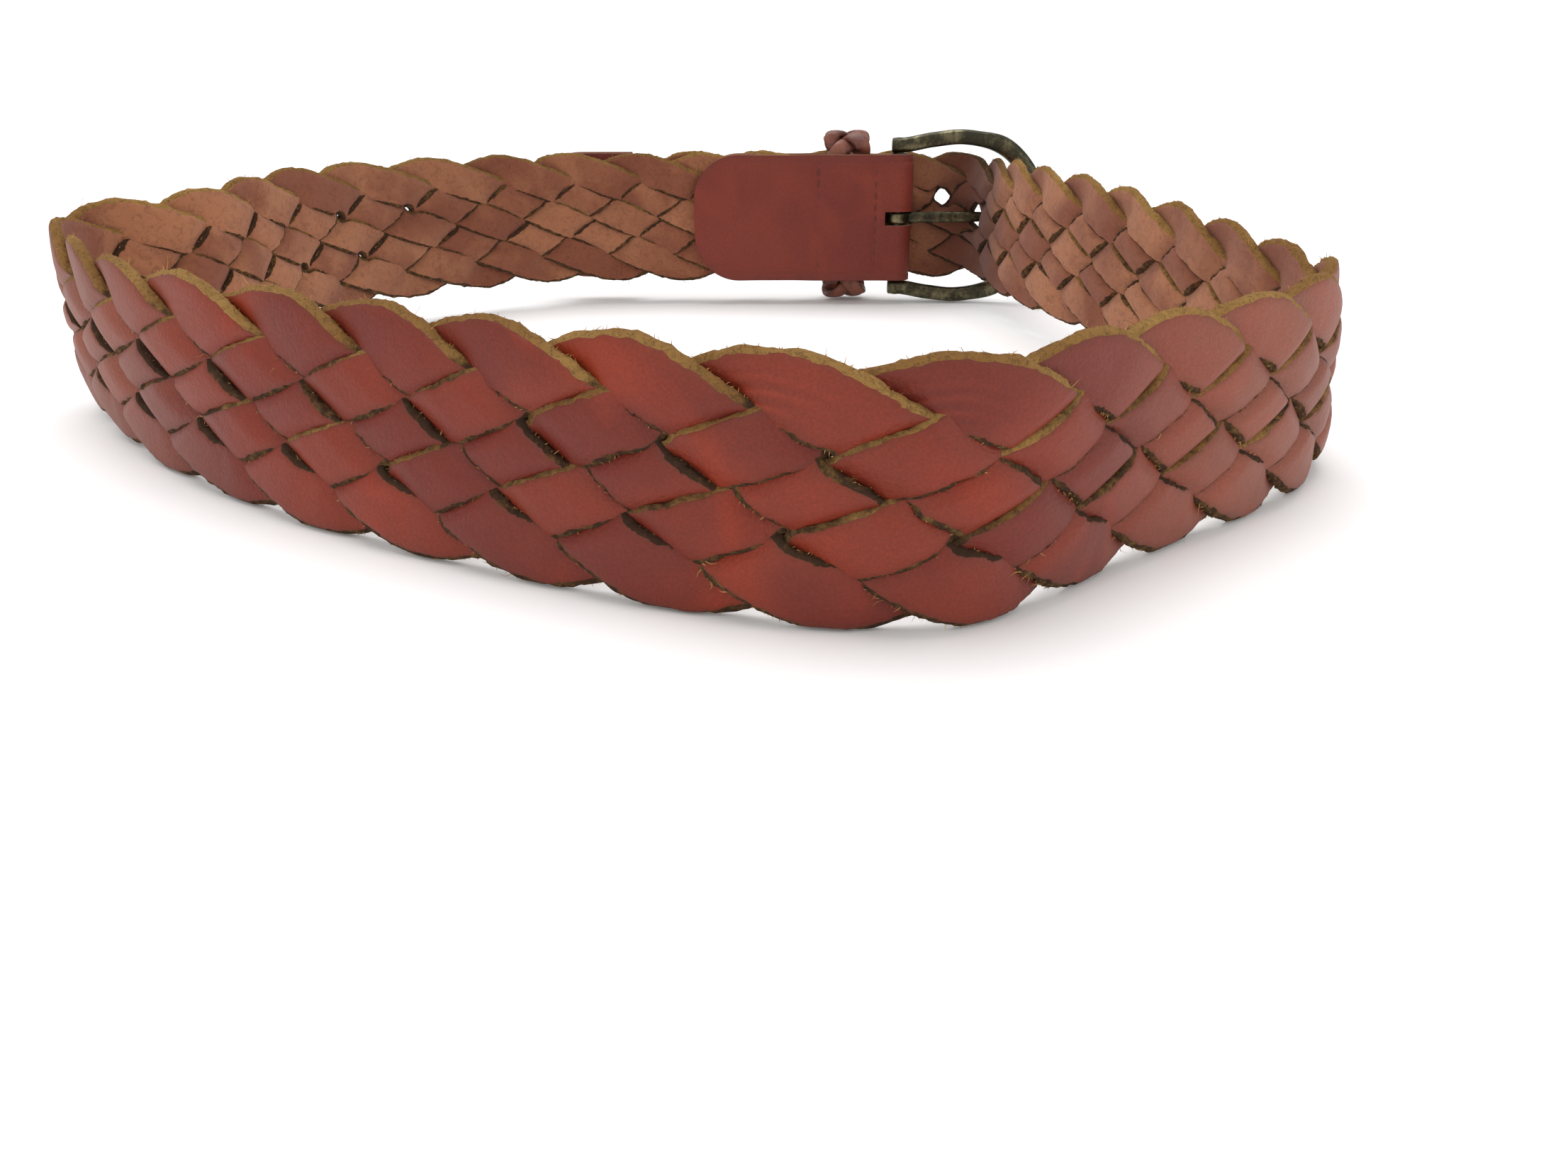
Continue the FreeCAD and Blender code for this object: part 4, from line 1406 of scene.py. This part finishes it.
# ------------------------------------------------------------------------ buckle
@dataclass
class Buckle:
    """Cast horseshoe frame and prong, each swept smoothly, and the bar they turn on."""

    finishes: Finishes
    bar: Spot
    reach: float = 45.0
    heel_end: float = -2.6
    heel: float = 22.4
    # Share of the reach, and height, of the points of the bow.
    outline: tuple = ((0.24, 24.1), (0.46, 24.9), (0.74, 21.66), (0.935, 12.95))
    rod: float = 2.3
    swell: float = 0.55             # the bow thickens outward towards its far end
    eye_radius: float = 3.17
    eye_wall: float = 0.70
    eye_steps: int = 48
    point: float = 1.2              # length of the prong's rounded end
    prong_half: float = 1.7
    prong_depth: float = 1.4
    prong_rise: float = 3.85
    prong_end: float = 49.0
    ring: int = 28
    steps: int = 18

    def __post_init__(self) -> None:
        """Work out the shared rounded section."""
        self.side, self.face = rounded_section(self.ring, 0.8)

    def spine(self) -> Array:
        """Smooth line through the outline of the bow, heel to heel.

        Returns:
            Distance past the bar and height of each of its points.
        """
        half = [(self.heel_end, self.heel), (0.0, self.heel)]
        half += [(t * self.reach, z) for t, z in self.outline]
        knots = np.array(half + [(self.reach, 0.0)] + [(t, -z) for t, z in reversed(half)])
        gap = np.linalg.norm(np.diff(knots, axis=0), axis=1)
        slope = np.diff(knots, axis=0) / gap[:, None]
        before, after = gap[:-1, None], gap[1:, None]
        inner = (slope[1:] * before + slope[:-1] * after) / (before + after)
        tangent = np.vstack([slope[:1], inner, slope[-1:]])
        u = np.linspace(0, 1, self.steps, endpoint=False)[:, None]
        spans = [cubic(u, knots[k], knots[k + 1], gap[k] * tangent[k], gap[k] * tangent[k + 1])
                 for k in range(len(gap))]
        return np.vstack(spans + [knots[-1:]])

    def place(self, t: Array, n: Array, z: Array) -> Array:
        """Points from distances to the bar."""
        x, y, z_bar = self.bar
        return np.stack([x + t, y + n, z_bar + z], -1).reshape(-1, 3)

    def finish(self, piece: bpy.types.Object, node: str, body: str) -> None:
        """Put a piece in the place of its plain solid.

        Args:
            piece: The piece.
            node: The plain solid.
            body: Body that it rides.
        """
        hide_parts(node)
        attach(piece, body)
        log_piece(piece)

    def cast_frame(self) -> None:
        """Sweep the frame."""
        line = self.spine()
        along = unit(np.gradient(line, axis=0))
        out = np.stack([-along[:, 1], along[:, 0]], 1)
        extra = self.swell * blend((line[:, 0] - 24.0) / 11.0)
        centre = line + out * extra[:, None]
        travel = np.concatenate([[0.0], np.cumsum(np.linalg.norm(np.diff(line, axis=0), axis=1))])
        end = np.minimum(travel, travel[-1] - travel)
        ease = (1 - end / 0.7).clip(0, 1)
        round_off = 0.80 + 0.20 * np.sqrt(np.clip(1 - ease ** 2, 0, 1))
        cast = 1 + 0.015 * wander(travel, 90, 9.0)
        wide = ((self.rod + extra) * round_off * cast)[:, None] * self.side
        deep = (self.rod * round_off * cast)[:, None] * self.face
        points = self.place(centre[:, :1] + out[:, :1] * wide, deep,
                            centre[:, 1:] + out[:, 1:] * wide)
        faces = tube_faces(len(line), self.ring, closed=False)
        piece = make_piece("cast_frame", points, faces, [0] * len(faces), [self.finishes.brass])
        self.finish(piece, "buckle_frame", "buckle")

    def forged_prong(self) -> None:
        """Sweep the eye round the bar and the shank out to the far bow."""
        turn = np.linspace(0, 2 * math.pi, self.eye_steps, endpoint=False)[:, None]
        radius = self.eye_radius + self.eye_wall * self.side
        height = np.tile(self.prong_half * self.face, (self.eye_steps, 1))
        eye = self.place(radius * np.cos(turn), radius * np.sin(turn), height)
        faces = list(tube_faces(self.eye_steps, self.ring, closed=True))
        shoulder = self.prong_end - self.point
        t = np.concatenate([np.linspace(self.eye_radius - 0.3, shoulder, 60),
                            shoulder + self.point * np.sin(np.linspace(0.2, 1.5, 8))])
        past = ((t - shoulder) / (self.point + 0.01)).clip(0, 1)
        tip = np.sqrt(np.clip(1 - past ** 2, 0.003, 1))
        taper = 1 - 0.40 * blend((t - 20.0) / 28.0)
        rise = (t / self.reach * self.prong_rise)[:, None]
        half = (self.prong_half * taper * tip)[:, None] * self.side
        thinner = 1 - 0.25 * t / self.prong_end
        deep = (self.prong_depth * thinner * tip)[:, None] * self.face
        shank = self.place(np.repeat(t[:, None], self.ring, 1), rise + deep, half)
        faces += [tuple(k + len(eye) for k in face)
                  for face in tube_faces(len(t), self.ring, closed=False)]
        piece = make_piece("forged_prong", np.vstack([eye, shank]), faces, [0] * len(faces),
                           [self.finishes.brass])
        self.finish(piece, "prong", "tongue")

    def build(self) -> None:
        """Build the frame and the prong, and dress the bar."""
        self.cast_frame()
        self.forged_prong()
        pin = frame["nodes"]["buckle_bar"]
        pin.data.materials.clear()
        pin.data.materials.append(self.finishes.brass)
        log.info("buckle_bar: dressed")


# ------------------------------------------------------------------------ studio
@dataclass
class Studio:
    """Pale floor, soft lights and camera."""

    place: Spot = (28.1, -278.6, 72.7)
    pitch_down: float = 24.29
    focal: float = 26.515009
    sensor: float = 36.0
    sky: float = 0.62
    floor_size: float = 6000.0
    floor_level: float = -0.5
    paper_height: float = 1500.0
    paper_inset: float = 500.0

    def floor(self) -> None:
        """Pale floor and background."""
        graph, shader, material = new_material("pale_floor", roughness=0.9, specular_ior_level=0.1)
        tint = graph.mix(graph.noise(graph.place(), 3.0, 2.0),
                         (0.93, 0.93, 0.93), (0.97, 0.97, 0.97))
        graph.join(tint, shader, "Base Color")
        size, low = self.floor_size, self.floor_level
        corners = np.array([(-size, -size, low), (size, -size, low),
                            (size, size, low), (-size, size, low)])
        make_piece("floor", corners, [(0, 1, 2, 3)], [0], [material])
        graph, shader, paper = new_material("lit_paper", roughness=1.0, emission_strength=1.0)
        glow = graph.mix(graph.noise(graph.place(), 0.5, 1.0), (0.99, 0.99, 0.99), (1.0, 1.0, 1.0))
        graph.join(glow, shader, "Emission Color")
        back, high = size - self.paper_inset, self.paper_height
        corners = np.array([(-size, back, low), (size, back, low),
                            (size, back, high), (-size, back, high)])
        make_piece("backdrop", corners, [(0, 1, 2, 3)], [0], [paper])
        world = bpy.data.worlds.new("studio")
        world.use_nodes = True
        background = world.node_tree.nodes["Background"]
        background.inputs[0].default_value = (1.0, 1.0, 1.0, 1.0)
        background.inputs[1].default_value = self.sky
        bpy.context.scene.world = world

    def light(self, name: str, place: Spot, target: Spot, size: float, power: float,
              colour: Colour) -> None:
        """Add a square soft light.

        Args:
            name: Name of the light.
            place: Where it stands, in metres.
            target: What it looks at, in metres.
            size: Length of its sides, in metres.
            power: Power in watts.
            colour: Its colour.
        """
        lamp = bpy.data.lights.new(name, "AREA")
        lamp.shape = "SQUARE"
        lamp.size = size
        lamp.energy = power
        lamp.color = colour
        holder = bpy.data.objects.new(name, lamp)
        holder.location = place
        aim = Vector(target) - Vector(place)
        holder.rotation_euler = aim.to_track_quat("-Z", "Y").to_euler()
        bpy.context.scene.collection.objects.link(holder)

    def sun(self) -> None:
        """Add a wide soft light from above, a little behind."""
        lamp = bpy.data.lights.new("window", "SUN")
        lamp.energy = 2.0
        lamp.angle = math.radians(50)
        holder = bpy.data.objects.new("window", lamp)
        holder.rotation_euler = (math.radians(-14), math.radians(-8), 0.0)
        bpy.context.scene.collection.objects.link(holder)

    def camera(self) -> None:
        """Add the camera, which looks down at the front of the loop."""
        lens = bpy.data.cameras.new("camera")
        lens.sensor_width = self.sensor
        lens.lens = self.focal
        lens.clip_start = 0.01
        lens.clip_end = 50.0
        holder = bpy.data.objects.new("camera", lens)
        holder.location = Vector(self.place) * MM
        holder.rotation_euler = (math.radians(90 - self.pitch_down), 0.0, 0.0)
        bpy.context.scene.collection.objects.link(holder)
        bpy.context.scene.camera = holder

    def build(self) -> None:
        """Set the stage."""
        self.floor()
        self.sun()
        self.light("fill", (-0.5, -1.0, 0.7), (0.0, 0.0, 0.0), 0.9, 3.2, (1.0, 0.97, 0.93))
        self.light("side", (0.9, -0.6, 0.5), (0.1, 0.0, 0.0), 0.7, 2.4, (1.0, 0.98, 0.95))
        self.camera()
        bpy.context.scene.view_settings.view_transform = "Standard"


# -------------------------------------------------------------------------- main
def main() -> None:
    """Build the belt, piece by piece, and the studio round it."""
    logging.basicConfig(level=logging.INFO, format="%(name)s: %(message)s")
    swing = next(joint for joint in frame["joints"] if joint["name"] == "frame_swing")
    bar = tuple(value / MM for value in swing["pos_m"])
    finishes = Finishes()
    strap = Strap(bar)
    Plait(strap, finishes).build()
    FoldedTab(finishes, bar).build()
    outer = strap.outer_layer
    for name, node, face in (("tip_inside", "tip_inner", -1), ("tip_outside", "tip_outer", 1)):
        TipLeaf(finishes, bar, thickness=1.6, name=name, node=node, face=face, n=outer).build()
    row = Leather(finishes, bar).stitches("seam_tip_stitches", "belt", -109.0,
                                          (outer - 1.85, outer + 1.85), 5.0, "seam_tip")
    log_piece(row)
    Keeper(finishes, bar).build()
    Buckle(finishes, bar).build()
    Studio().build()


if __name__ == "__main__":
    main()
